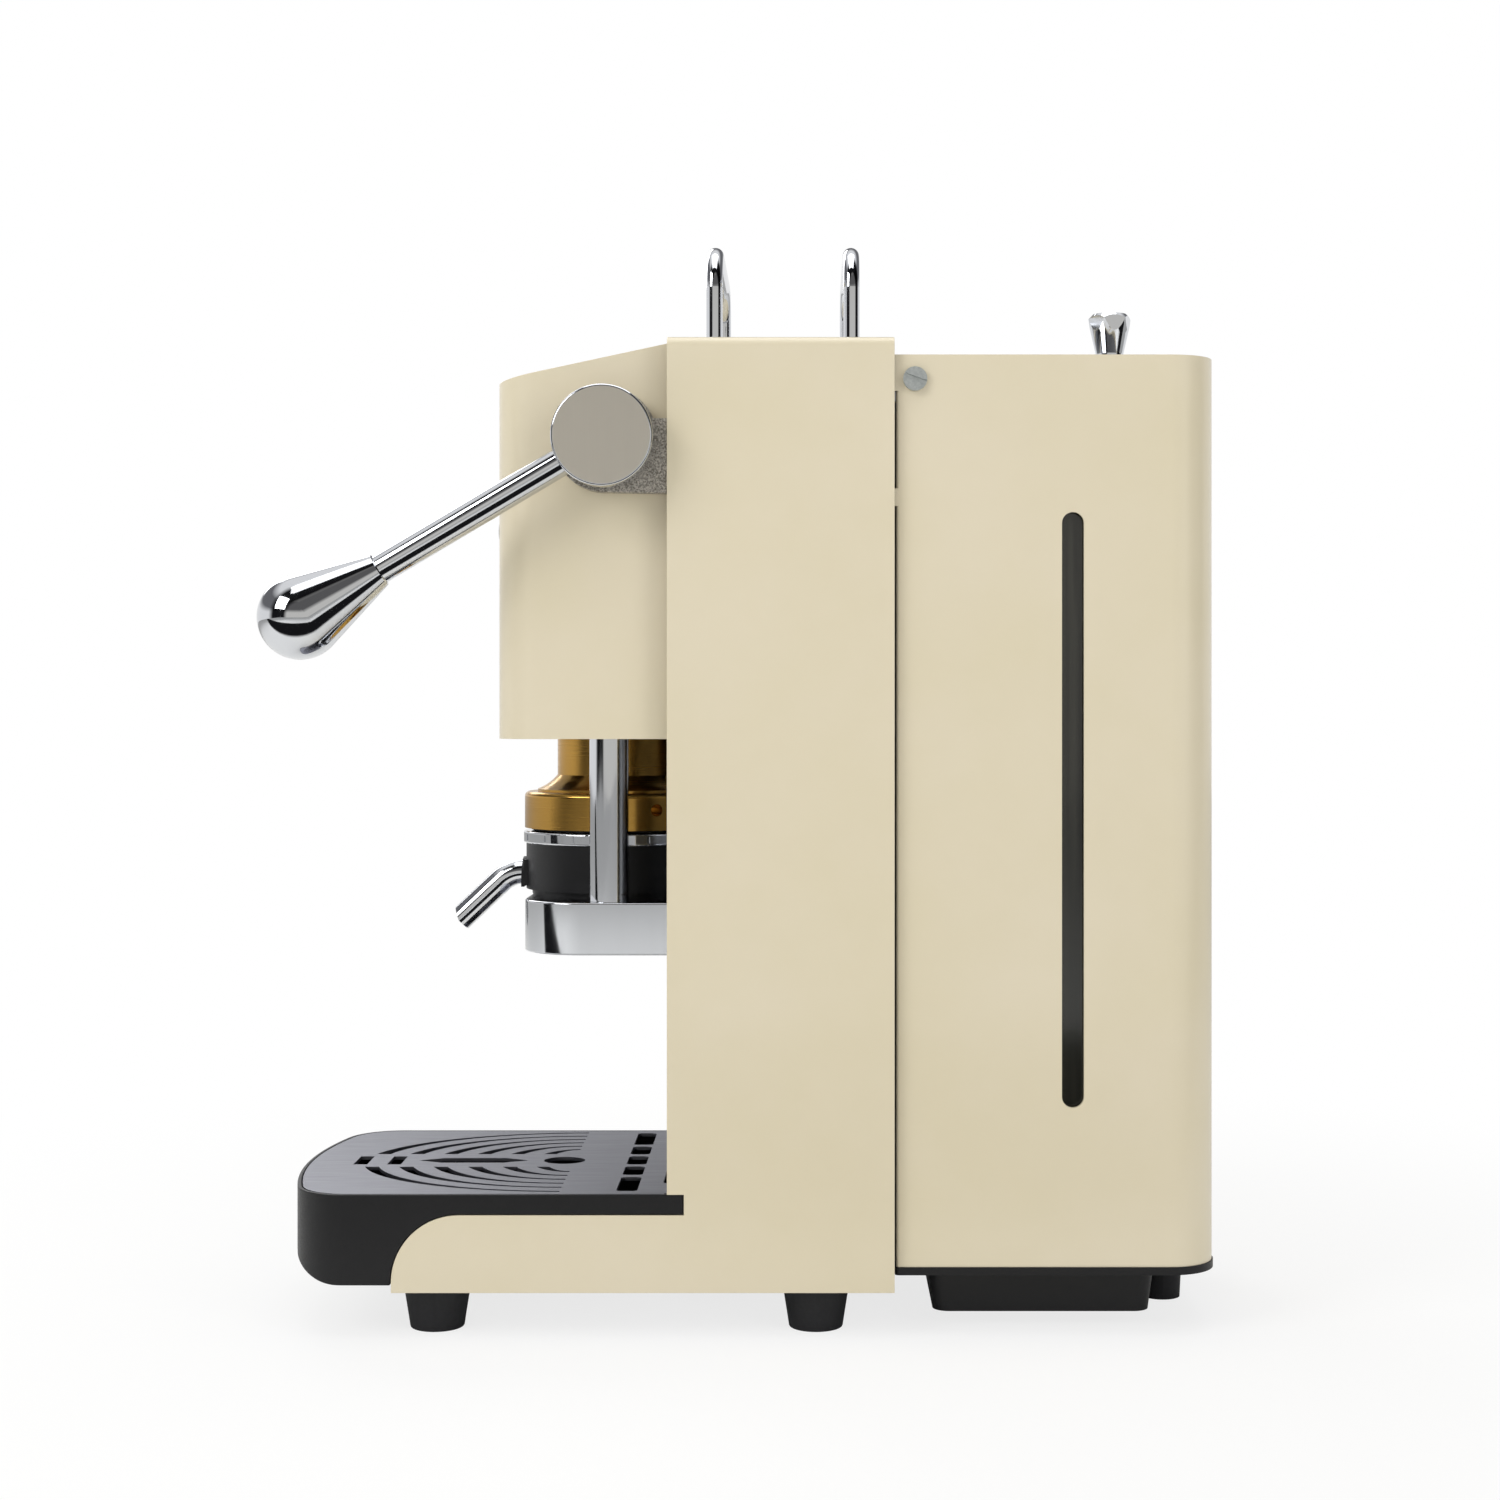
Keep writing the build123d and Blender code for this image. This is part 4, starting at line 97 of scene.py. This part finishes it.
def mix_colours(tree, share, first, second, blend_type="MIX"):
    """Mixes two colours. The node's colour sockets share their names, so they go by number."""
    settings = {"data_type": "RGBA", "blend_type": blend_type}
    node = add_node(tree, "ShaderNodeMix", settings, {0: share, 6: first, 7: second})
    return node.outputs[2]


# %% [markdown]
# ## Camera
# The photograph is a side view taken from close by: the roof is just out of sight and the
# far foot shows beside the near one. Measured against the machine's own sizes the lens stood
# 0.8 m from its middle plane and 0.2 m above the table.

# %% Camera
CAMERA_DISTANCE = 0.8
CAMERA_Y = 0.020
CAMERA_HEIGHT = 0.1993
FRAME_PIXELS = 1500
FOCAL_PIXELS = 2388
AXIS_PIXEL_X = 808
AXIS_PIXEL_Y = 700
SENSOR_WIDTH = 36

camera_data = bpy.data.cameras.new("side_camera")
camera_data.sensor_width = SENSOR_WIDTH
camera_data.lens = FOCAL_PIXELS * SENSOR_WIDTH / FRAME_PIXELS
camera_data.shift_x = (FRAME_PIXELS / 2 - AXIS_PIXEL_X) / FRAME_PIXELS
camera_data.shift_y = (AXIS_PIXEL_Y - FRAME_PIXELS / 2) / FRAME_PIXELS
camera = bpy.data.objects.new("side_camera", camera_data)
camera.location = (CAMERA_DISTANCE, CAMERA_Y, CAMERA_HEIGHT)
camera.rotation_euler = (pi / 2, 0, pi / 2)
bpy.context.scene.collection.objects.link(camera)
bpy.context.scene.camera = camera
bpy.context.scene.view_settings.view_transform = "Standard"
print("lens", round(camera_data.lens, 2), "mm")

# %% [markdown]
# ## World
# A photographer's white cove lights the paint evenly, but polished metal draws every part of
# the room. Chrome looks like chrome only where it mirrors dark beside light, so the mirrored
# room has a pale screen behind the camera, dark flags on both sides of it and the white cove
# beyond the machine. Above the cove comes a grey ceiling with a white skylight, so that level
# metal shows too. The flags and the screen are turned a little towards the rear, which puts the
# wider dark band on the front of every round bar. Glass sees the same room, and the camera
# itself sees white.

# %% World
WORLD_LIGHT = 0.46
ROOM_TURN = radians(14)
SCREEN = "#D6D4CF"
FLAG = "#1A1A1C"
COVE = "#F6F6F6"
CEILING = "#77777A"
WHITE = "#FFFFFF"
BLACK = "#000000"
WALL_STOPS = ((0.46, COVE), (0.58, FLAG), (0.84, FLAG), (0.895, SCREEN))
CEILING_STOPS = ((0.58, WHITE), (0.65, CEILING), (0.80, CEILING), (0.90, WHITE))

world = bpy.data.worlds.new("white_cove")
bpy.context.scene.world = world
world.use_nodes = True
sky = world.node_tree
sky.nodes.clear()
direction = add_node(sky, "ShaderNodeTexCoord")
towards_screen = add_node(
    sky,
    "ShaderNodeVectorMath",
    {"operation": "DOT_PRODUCT"},
    {0: direction.outputs["Generated"], 1: (cos(ROOM_TURN), sin(ROOM_TURN), 0)},
)
from_cove_to_screen = add_node(
    sky,
    "ShaderNodeMapRange",
    inputs={"Value": towards_screen.outputs["Value"], "From Min": -1.0, "From Max": 1.0},
)
room_walls = add_ramp(sky, from_cove_to_screen.outputs["Result"], WALL_STOPS)
heights = add_node(sky, "ShaderNodeSeparateXYZ", inputs={"Vector": direction.outputs["Generated"]})
from_floor_to_ceiling = add_node(
    sky, "ShaderNodeMapRange", inputs={"Value": heights.outputs["Z"], "From Min": -1.0}
)
ceiling = add_ramp(sky, from_floor_to_ceiling.outputs["Result"], CEILING_STOPS)
whole_room = mix_colours(sky, 1.0, room_walls, ceiling, "MULTIPLY")
path = add_node(sky, "ShaderNodeLightPath")
plain, white, room = (
    add_node(sky, "ShaderNodeBackground", inputs={"Color": paint, "Strength": strength})
    for paint, strength in ((colour(WHITE), WORLD_LIGHT), (colour(WHITE), 1.0), (whole_room, 1.0))
)
mirrored = add_node(
    sky,
    "ShaderNodeMath",
    {"operation": "MAXIMUM"},
    {0: path.outputs["Is Glossy Ray"], 1: path.outputs["Is Transmission Ray"]},
)
lit_or_mirrored = add_node(
    sky,
    "ShaderNodeMixShader",
    inputs={0: mirrored.outputs["Value"], 1: plain.outputs[0], 2: room.outputs[0]},
)
seen = add_node(
    sky,
    "ShaderNodeMixShader",
    inputs={0: path.outputs["Is Camera Ray"], 1: lit_or_mirrored.outputs[0], 2: white.outputs[0]},
)
add_node(sky, "ShaderNodeOutputWorld", inputs={"Surface": seen.outputs[0]})
print("room walls change at", [place for place, paint in WALL_STOPS])

# %% [markdown]
# ## Lamps
# Large soft boxes give paint a smooth fall of light and give metal long clean highlights.
# The key stands high in front on the lever's side, a weaker fill behind opposes it, a broad one
# hangs overhead and a small one lights the far side. Their levels are set so that a colour
# renders about as it is written. The fill stands low enough to glare on the level roof, so
# nothing mirrors it.

# %% Lamps
LAMP_TARGET = Vector((0, 0, 0.17))


def soft_box(name, place, width, height, watts, mirrored=True):
    """An area lamp that looks at the machine; one that isn't mirrored lights it unseen."""
    lamp_data = bpy.data.lights.new(name, "AREA")
    lamp_data.shape = "RECTANGLE"
    lamp_data.size = width
    lamp_data.size_y = height
    lamp_data.energy = watts
    lamp = bpy.data.objects.new(name, lamp_data)
    lamp.location = place
    lamp.rotation_euler = (LAMP_TARGET - Vector(place)).to_track_quat("-Z", "Y").to_euler()
    lamp.visible_glossy = mirrored
    bpy.context.scene.collection.objects.link(lamp)


soft_box("key_lamp", (0.85, -0.95, 0.95), width=0.7, height=0.7, watts=7.6)
soft_box("fill_lamp", (0.95, 1.0, 0.55), width=0.5, height=0.9, watts=3.4, mirrored=False)
soft_box("top_lamp", (0.1, 0.0, 1.25), width=0.9, height=0.9, watts=4.6)
soft_box("far_lamp", (-0.9, -0.5, 0.8), width=0.6, height=0.6, watts=3.6)

# %% [markdown]
# ## Floor
# The machine stands on a pale table that runs into a white background with no edge. Near the
# feet the table is matt and takes their shadow, and further out it turns into pure white. A
# black card lies on the table on the camera's side, and only reflections show it.

# %% Floor
FLOOR_SIZE = 8.0
FLOOR_WHITE_FROM = 0.18
FLOOR_WHITE_TO = 0.50
FLOOR_WHITE_NEAR = 0.78
CARD_NEAR = 0.20
CARD_FAR = 0.75
CARD_FADE = 0.04
CARD_STOPS = (
    (CARD_NEAR, BLACK),
    (CARD_NEAR + CARD_FADE, WHITE),
    (CARD_FAR - CARD_FADE, WHITE),
    (CARD_FAR, BLACK),
)

bpy.ops.mesh.primitive_plane_add(size=FLOOR_SIZE, location=(0, 0, 0))
floor = bpy.context.object
floor.name = "pale_floor"
table = bpy.data.materials.new("pale_table")
table.use_nodes = True
top = table.node_tree
top.nodes.clear()
place = add_node(top, "ShaderNodeTexCoord")
distance = add_node(
    top, "ShaderNodeVectorMath", {"operation": "LENGTH"}, {0: place.outputs["Object"]}
)
fade = add_node(
    top,
    "ShaderNodeMapRange",
    {"interpolation_type": "SMOOTHSTEP"},
    {
        "Value": distance.outputs["Value"],
        "From Min": FLOOR_WHITE_FROM,
        "From Max": FLOOR_WHITE_TO,
        "To Min": FLOOR_WHITE_NEAR,
    },
)
table_axes = add_node(top, "ShaderNodeSeparateXYZ", inputs={"Vector": place.outputs["Object"]})
card = add_ramp(top, table_axes.outputs["X"], CARD_STOPS)
rays = add_node(top, "ShaderNodeLightPath")
dark_in_mirror = add_node(
    top,
    "ShaderNodeMath",
    {"operation": "MULTIPLY"},
    {0: rays.outputs["Is Glossy Ray"], 1: card},
)
shown = add_node(
    top,
    "ShaderNodeMath",
    {"operation": "MULTIPLY"},
    {0: rays.outputs["Is Camera Ray"], 1: fade.outputs["Result"]},
)
matt = add_node(top, "ShaderNodeBsdfDiffuse", inputs={"Color": colour("#F4F4F2")})
glow = add_node(top, "ShaderNodeEmission", inputs={"Color": colour(WHITE), "Strength": 1.0})
surface = add_node(
    top,
    "ShaderNodeMixShader",
    inputs={0: shown.outputs["Value"], 1: matt.outputs[0], 2: glow.outputs[0]},
)
black_card = add_node(top, "ShaderNodeEmission", inputs={"Color": colour(FLAG)})
whole = add_node(
    top,
    "ShaderNodeMixShader",
    inputs={0: dark_in_mirror.outputs[0], 1: surface.outputs[0], 2: black_card.outputs[0]},
)
add_node(top, "ShaderNodeOutputMaterial", inputs={"Surface": whole.outputs[0]})
floor.data.materials.append(table)
print("table turns white from", FLOOR_WHITE_FROM, "to", FLOOR_WHITE_TO, "m")

# %% [markdown]
# ## How the finishes are built
# Every finish below starts from one principled shader with typical values for the real
# material. Fine texture comes from noise on the object's own coordinates, so its grain has a
# real size in millimetres and stays on the piece when the piece moves.

# %% Finish helpers
def start_finish(name, hex_value, metallic, roughness):
    """A principled material; returns it with its tree, shader and coordinate socket."""
    material = bpy.data.materials.new(name)
    material.use_nodes = True
    tree = material.node_tree
    tree.nodes.clear()
    coords = add_node(tree, "ShaderNodeTexCoord").outputs["Object"]
    shader = add_node(
        tree,
        "ShaderNodeBsdfPrincipled",
        inputs={"Base Color": colour(hex_value), "Metallic": metallic, "Roughness": roughness},
    )
    add_node(tree, "ShaderNodeOutputMaterial", inputs={"Surface": shader.outputs[0]})
    material.diffuse_color = colour(hex_value)
    return material, tree, shader, coords


def grain(tree, coords, size_mm, stretch=(1, 1, 1), detail=2.0):
    """Noise whose blobs are about size_mm across, stretched along the axes."""
    scaled = add_node(
        tree,
        "ShaderNodeVectorMath",
        {"operation": "MULTIPLY"},
        {0: coords, 1: tuple(1 / (size_mm * MM * s) for s in stretch)},
    )
    noise = add_node(
        tree,
        "ShaderNodeTexNoise",
        inputs={"Vector": scaled.outputs[0], "Scale": 1.0, "Detail": detail},
    )
    return noise.outputs["Fac"]


def spread(tree, value, low, high, start=0.3, end=0.7):
    """Maps a noise value onto a range."""
    node = add_node(
        tree,
        "ShaderNodeMapRange",
        inputs={"Value": value, "From Min": start, "From Max": end, "To Min": low, "To Max": high},
    )
    return node.outputs["Result"]


def tint(tree, shader, value, low_hex, high_hex):
    """Runs the base colour between two colours, by a value from 0 to 1."""
    mixed = mix_colours(tree, value, colour(low_hex), colour(high_hex))
    tree.links.new(mixed, shader.inputs["Base Color"])


def vary_roughness(tree, shader, value, low, high):
    """Runs the roughness between two values with a noise."""
    tree.links.new(spread(tree, value, low, high), shader.inputs["Roughness"])


def roughen(tree, shader, height, depth_mm, strength=1.0):
    """Bump from a height value, with its real depth."""
    bump = add_node(
        tree,
        "ShaderNodeBump",
        inputs={"Height": height, "Distance": depth_mm * MM, "Strength": strength},
    )
    tree.links.new(bump.outputs["Normal"], shader.inputs["Normal"])


# %% [markdown]
# ## Cream enamel on sheet steel
# The body is folded steel under baked enamel. Sprayed enamel dries with a faint orange peel
# about 1.5 mm across and a soft gloss, and its colour is a shade warmer in places.

# %% Cream enamel
cream_enamel, tree, shader, coords = start_finish(
    "baked_cream_enamel", "#E0D5BA", metallic=0.0, roughness=0.3
)
tone = spread(tree, grain(tree, coords, size_mm=40, detail=3.0), 0.0, 1.0)
tint(tree, shader, tone, "#DFD4B7", "#E2D7BD")
roughen(tree, shader, grain(tree, coords, size_mm=1.5), depth_mm=0.012)
shader.inputs["Coat Weight"].default_value = 0.3
shader.inputs["Coat Roughness"].default_value = 0.12

# %% [markdown]
# ## Bright chrome plate
# Chrome is a cool, very smooth metal. Years of wiping leave hairlines that only soften the
# reflection a little, so its roughness varies in fine streaks instead of its colour.

# %% Chrome
chrome, tree, shader, coords = start_finish(
    "bright_chrome_plate", "#D6D8DC", metallic=1.0, roughness=0.05
)
wipes = grain(tree, coords, size_mm=2.0, stretch=(1, 1, 12))
vary_roughness(tree, shader, wipes, 0.03, 0.085)

# %% [markdown]
# ## Satin steel, and the tray's grid
# Both are brushed: fine parallel scratches stretch the highlight across them. The hub's face
# is brushed upright, while the grid's scratches run along its length.

# %% Satin steel
satin_steel, tree, shader, coords = start_finish(
    "satin_brushed_steel", "#DAD4C8", metallic=1.0, roughness=0.36
)
hairlines = grain(tree, coords, size_mm=0.3, stretch=(1, 1, 70), detail=3.0)
vary_roughness(tree, shader, hairlines, 0.3, 0.44)
roughen(tree, shader, hairlines, depth_mm=0.01, strength=0.5)

grid_steel, tree, shader, coords = start_finish(
    "brushed_grid_steel", "#85868E", metallic=1.0, roughness=0.38
)
lines = grain(tree, coords, size_mm=0.35, stretch=(1, 60, 1), detail=3.0)
vary_roughness(tree, shader, lines, 0.3, 0.46)
roughen(tree, shader, lines, depth_mm=0.01, strength=0.5)

# %% [markdown]
# ## Cast aluminium
# The arms that carry the lever are raw sand castings: grey, pitted and speckled, with a grain
# of half a millimetre and darker pits where the sand left marks.

# %% Cast aluminium
cast_aluminium, tree, shader, coords = start_finish(
    "raw_cast_aluminium", "#A39C93", metallic=0.85, roughness=0.55
)
pits = grain(tree, coords, size_mm=0.5, detail=4.0)
speckle = spread(tree, pits, 0.0, 1.0, start=0.38, end=0.62)
tint(tree, shader, speckle, "#989288", "#DED8CE")
vary_roughness(tree, shader, pits, 0.7, 0.42)
roughen(tree, shader, pits, depth_mm=0.12)

# %% [markdown]
# ## Gold anodised aluminium
# The pressing head is turned aluminium with a gold anodic layer. The tint belongs to the
# metal itself, the gloss is a soft satin, and the lathe leaves fine level rings.

# %% Gold
gold, tree, shader, coords = start_finish(
    "gold_anodised_aluminium", "#C0954A", metallic=1.0, roughness=0.22
)
turned = grain(tree, coords, size_mm=0.3, stretch=(80, 80, 1))
vary_roughness(tree, shader, turned, 0.16, 0.28)
roughen(tree, shader, turned, depth_mm=0.006, strength=0.5)

# %% [markdown]
# ## Plastics and rubber
# The tray and the base under the tank are moulded ABS with a fine spark texture. The button
# and the switch are glossy. The tank is clear plastic with a smoky tint, streaked upright
# where the melt flowed and water has run down, and the feet are matt rubber.

# %% Plastics and rubber
black_plastic, tree, shader, coords = start_finish(
    "moulded_black_abs", "#161618", metallic=0.0, roughness=0.42
)
shader.inputs["Specular IOR Level"].default_value = 0.35
spark = grain(tree, coords, size_mm=0.45, detail=2.0)
vary_roughness(tree, shader, spark, 0.36, 0.5)
roughen(tree, shader, spark, depth_mm=0.02)

gloss_black, tree, shader, coords = start_finish(
    "glossy_black_abs", "#161618", metallic=0.0, roughness=0.14
)
roughen(tree, shader, grain(tree, coords, size_mm=3.0), depth_mm=0.01, strength=0.5)

smoky_plastic, tree, shader, coords = start_finish(
    "smoky_clear_plastic", "#3C3C38", metallic=0.0, roughness=0.08
)
melt = grain(tree, coords, size_mm=2.6, stretch=(1, 1, 45), detail=2.0)
flow = spread(tree, melt, 0.0, 1.0, start=0.35, end=0.68)
tint(tree, shader, flow, "#2B2B27", "#54544B")
shader.inputs["IOR"].default_value = 1.58
shader.inputs["Transmission Weight"].default_value = 0.6
roughen(tree, shader, grain(tree, coords, size_mm=12.0), depth_mm=0.03, strength=0.4)

rubber, tree, shader, coords = start_finish(
    "matt_rubber", "#1B1B1E", metallic=0.0, roughness=0.72
)
dust = grain(tree, coords, size_mm=1.2, detail=3.0)
tint(tree, shader, dust, "#18181B", "#242427")
roughen(tree, shader, dust, depth_mm=0.03)

# %% [markdown]
# ## Inner metals and the board
# Zinc plated steel, machined brass and a green circuit board fill the inside. They show only
# when a piece is lifted off, but each still gets its own finish. The two screws that hold the
# tank housing are zinc plated too, brighter, with the blotches of plating that was never wiped.

# %% Inner metals
zinc_steel, tree, shader, coords = start_finish(
    "zinc_plated_steel", "#B8BABD", metallic=1.0, roughness=0.36
)
spangle = grain(tree, coords, size_mm=4.0, detail=3.0)
tint(tree, shader, spangle, "#A6A8AC", "#C6C8CB")
vary_roughness(tree, shader, spangle, 0.28, 0.44)

screw_zinc, tree, shader, coords = start_finish(
    "bright_zinc_screw", "#C6CBCA", metallic=0.8, roughness=0.4
)
blotches = grain(tree, coords, size_mm=0.8, detail=4.0)
tint(tree, shader, blotches, "#A9B0B0", "#E2E6E4")
roughen(tree, shader, blotches, depth_mm=0.04)

brass, tree, shader, coords = start_finish(
    "machined_brass", "#B8964A", metallic=1.0, roughness=0.26
)
cut = grain(tree, coords, size_mm=0.4, stretch=(20, 1, 1))
vary_roughness(tree, shader, cut, 0.2, 0.34)

board_green, tree, shader, coords = start_finish(
    "green_circuit_board", "#2F5B3A", metallic=0.0, roughness=0.4
)
traces = grain(tree, coords, size_mm=2.5, detail=1.0)
step = spread(tree, traces, 0.0, 1.0, start=0.49, end=0.51)
tint(tree, shader, step, "#2B5435", "#376944")

# %% [markdown]
# ## Give each node its finish
# The record names a material slot for each node, so one table turns slots into finishes. Only
# the screws of the tank housing take a finish of their own.

# %% Assign finishes
FINISHES = {
    "cream_paint": cream_enamel,
    "chrome": chrome,
    "satin_steel": satin_steel,
    "grid_steel": grid_steel,
    "cast_aluminium": cast_aluminium,
    "gold_anodised": gold,
    "black_plastic": black_plastic,
    "gloss_black": gloss_black,
    "smoky_plastic": smoky_plastic,
    "rubber": rubber,
    "zinc_steel": zinc_steel,
    "brass": brass,
    "board_green": board_green,
}
for entry in frame["record"]["subparts"]:
    node = nodes[entry["node"]]
    if not node.data.materials:
        node.data.materials.append(None)
    for index in range(len(node.data.materials)):
        node.data.materials[index] = FINISHES[entry["material_slot"]]
nodes["tank_screws"].data.materials[0] = screw_zinc

# %% [markdown]
# ## Eased edges on the panels
# A folded or moulded edge is never knife sharp: its small round catches a thin line of light,
# and that line is what makes sheet steel read as sheet steel. The measured solids have sharp
# edges. A copy of each large one is welded, its flat faces are joined, and a bevel modifier
# rounds what is left sharp. Weighted normals then keep the flat faces flat.

# %% Eased copies
WELD = 0.01 * MM
FLAT = radians(0.5)
SHARP = radians(40)


def pick_only(piece):
    """Selects one object and makes it the active one."""
    bpy.ops.object.select_all(action="DESELECT")
    piece.select_set(True)
    bpy.context.view_layer.objects.active = piece


def add_and_apply(piece, kind, **settings):
    """Adds a modifier with its settings and applies it."""
    pick_only(piece)
    modifier = piece.modifiers.new(kind.lower(), kind)
    for name, value in settings.items():
        setattr(modifier, name, value)
    bpy.ops.object.modifier_apply(modifier=modifier.name)


def eased_copy(name, body, ease_mm):
    """A copy of a node with small rounds on its sharp edges, which stands for the node."""
    piece = bpy.data.objects.new(name + "_eased", nodes[name].data.copy())
    bpy.context.scene.collection.objects.link(piece)
    pick_only(piece)
    bpy.ops.object.mode_set(mode="EDIT")
    bpy.ops.mesh.select_all(action="SELECT")
    bpy.ops.mesh.remove_doubles(threshold=WELD)
    bpy.ops.mesh.dissolve_limited(angle_limit=FLAT)
    bpy.ops.object.mode_set(mode="OBJECT")
    add_and_apply(
        piece, "BEVEL", width=ease_mm * MM, segments=2, limit_method="ANGLE", angle_limit=SHARP
    )
    bpy.ops.object.shade_smooth_by_angle(angle=SHARP)
    add_and_apply(piece, "WEIGHTED_NORMAL", keep_sharp=True)
    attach(piece, body)
    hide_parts(name)
    print(name, "faces", len(piece.data.polygons))


EASES = {
    "main_shell": ("chassis", "cream_paint", 0.5),
    "hood_shell": ("chassis", "cream_paint", 0.5),
    "tank_housing": ("chassis", "cream_paint", 0.45),
    "drip_tray": ("tray", "black_plastic", 0.5),
    "tank_base": ("chassis", "black_plastic", 0.4),
    "group_base": ("chassis", "chrome", 0.5),
    "drip_grid": ("grid", "grid_steel", 0.25),
}
for name, (body, slot, ease_mm) in EASES.items():
    eased_copy(name, body, ease_mm)

# %% [markdown]
# ## Hub disc
# The disc that holds the lever is a thick steel slug with a brushed face and a polished rim.
# A round of 0.8 mm between the two draws the bright and dark outline seen from the side. It is
# a cylinder whose rim edges are bevelled, with a second material on all but the outer face.

# %% Hub disc
HUB_SIDES = 128
RIM_ROUND = 0.8 * MM
RIM_EDGE = radians(60)
FACES_OUT = 0.999

hub_low, hub_high = (Vector(corner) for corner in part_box("hub_disc"))
hub_middle = (hub_low + hub_high) / 2
hub_size = hub_high - hub_low
bpy.ops.mesh.primitive_cylinder_add(
    vertices=HUB_SIDES,
    radius=hub_size.z / 2,
    depth=hub_size.x,
    location=hub_middle,
    rotation=(0, pi / 2, 0),
)
hub = bpy.context.object
hub.name = "brushed_hub_disc"
bpy.ops.object.transform_apply(location=True, rotation=True, scale=True)
add_and_apply(
    hub, "BEVEL", width=RIM_ROUND, segments=4, limit_method="ANGLE", angle_limit=RIM_EDGE
)
hub.data.materials.append(chrome)
hub.data.materials.append(satin_steel)
for face in hub.data.polygons:
    face.material_index = int(face.normal.x > FACES_OUT)
bpy.ops.object.shade_smooth_by_angle(angle=radians(30))
add_and_apply(hub, "WEIGHTED_NORMAL", keep_sharp=True)
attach(hub, "lever")
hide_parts("hub_disc")
print("hub radius mm", round(hub_size.z / 2 / MM, 2), "thickness mm", round(hub_size.x / MM, 2))
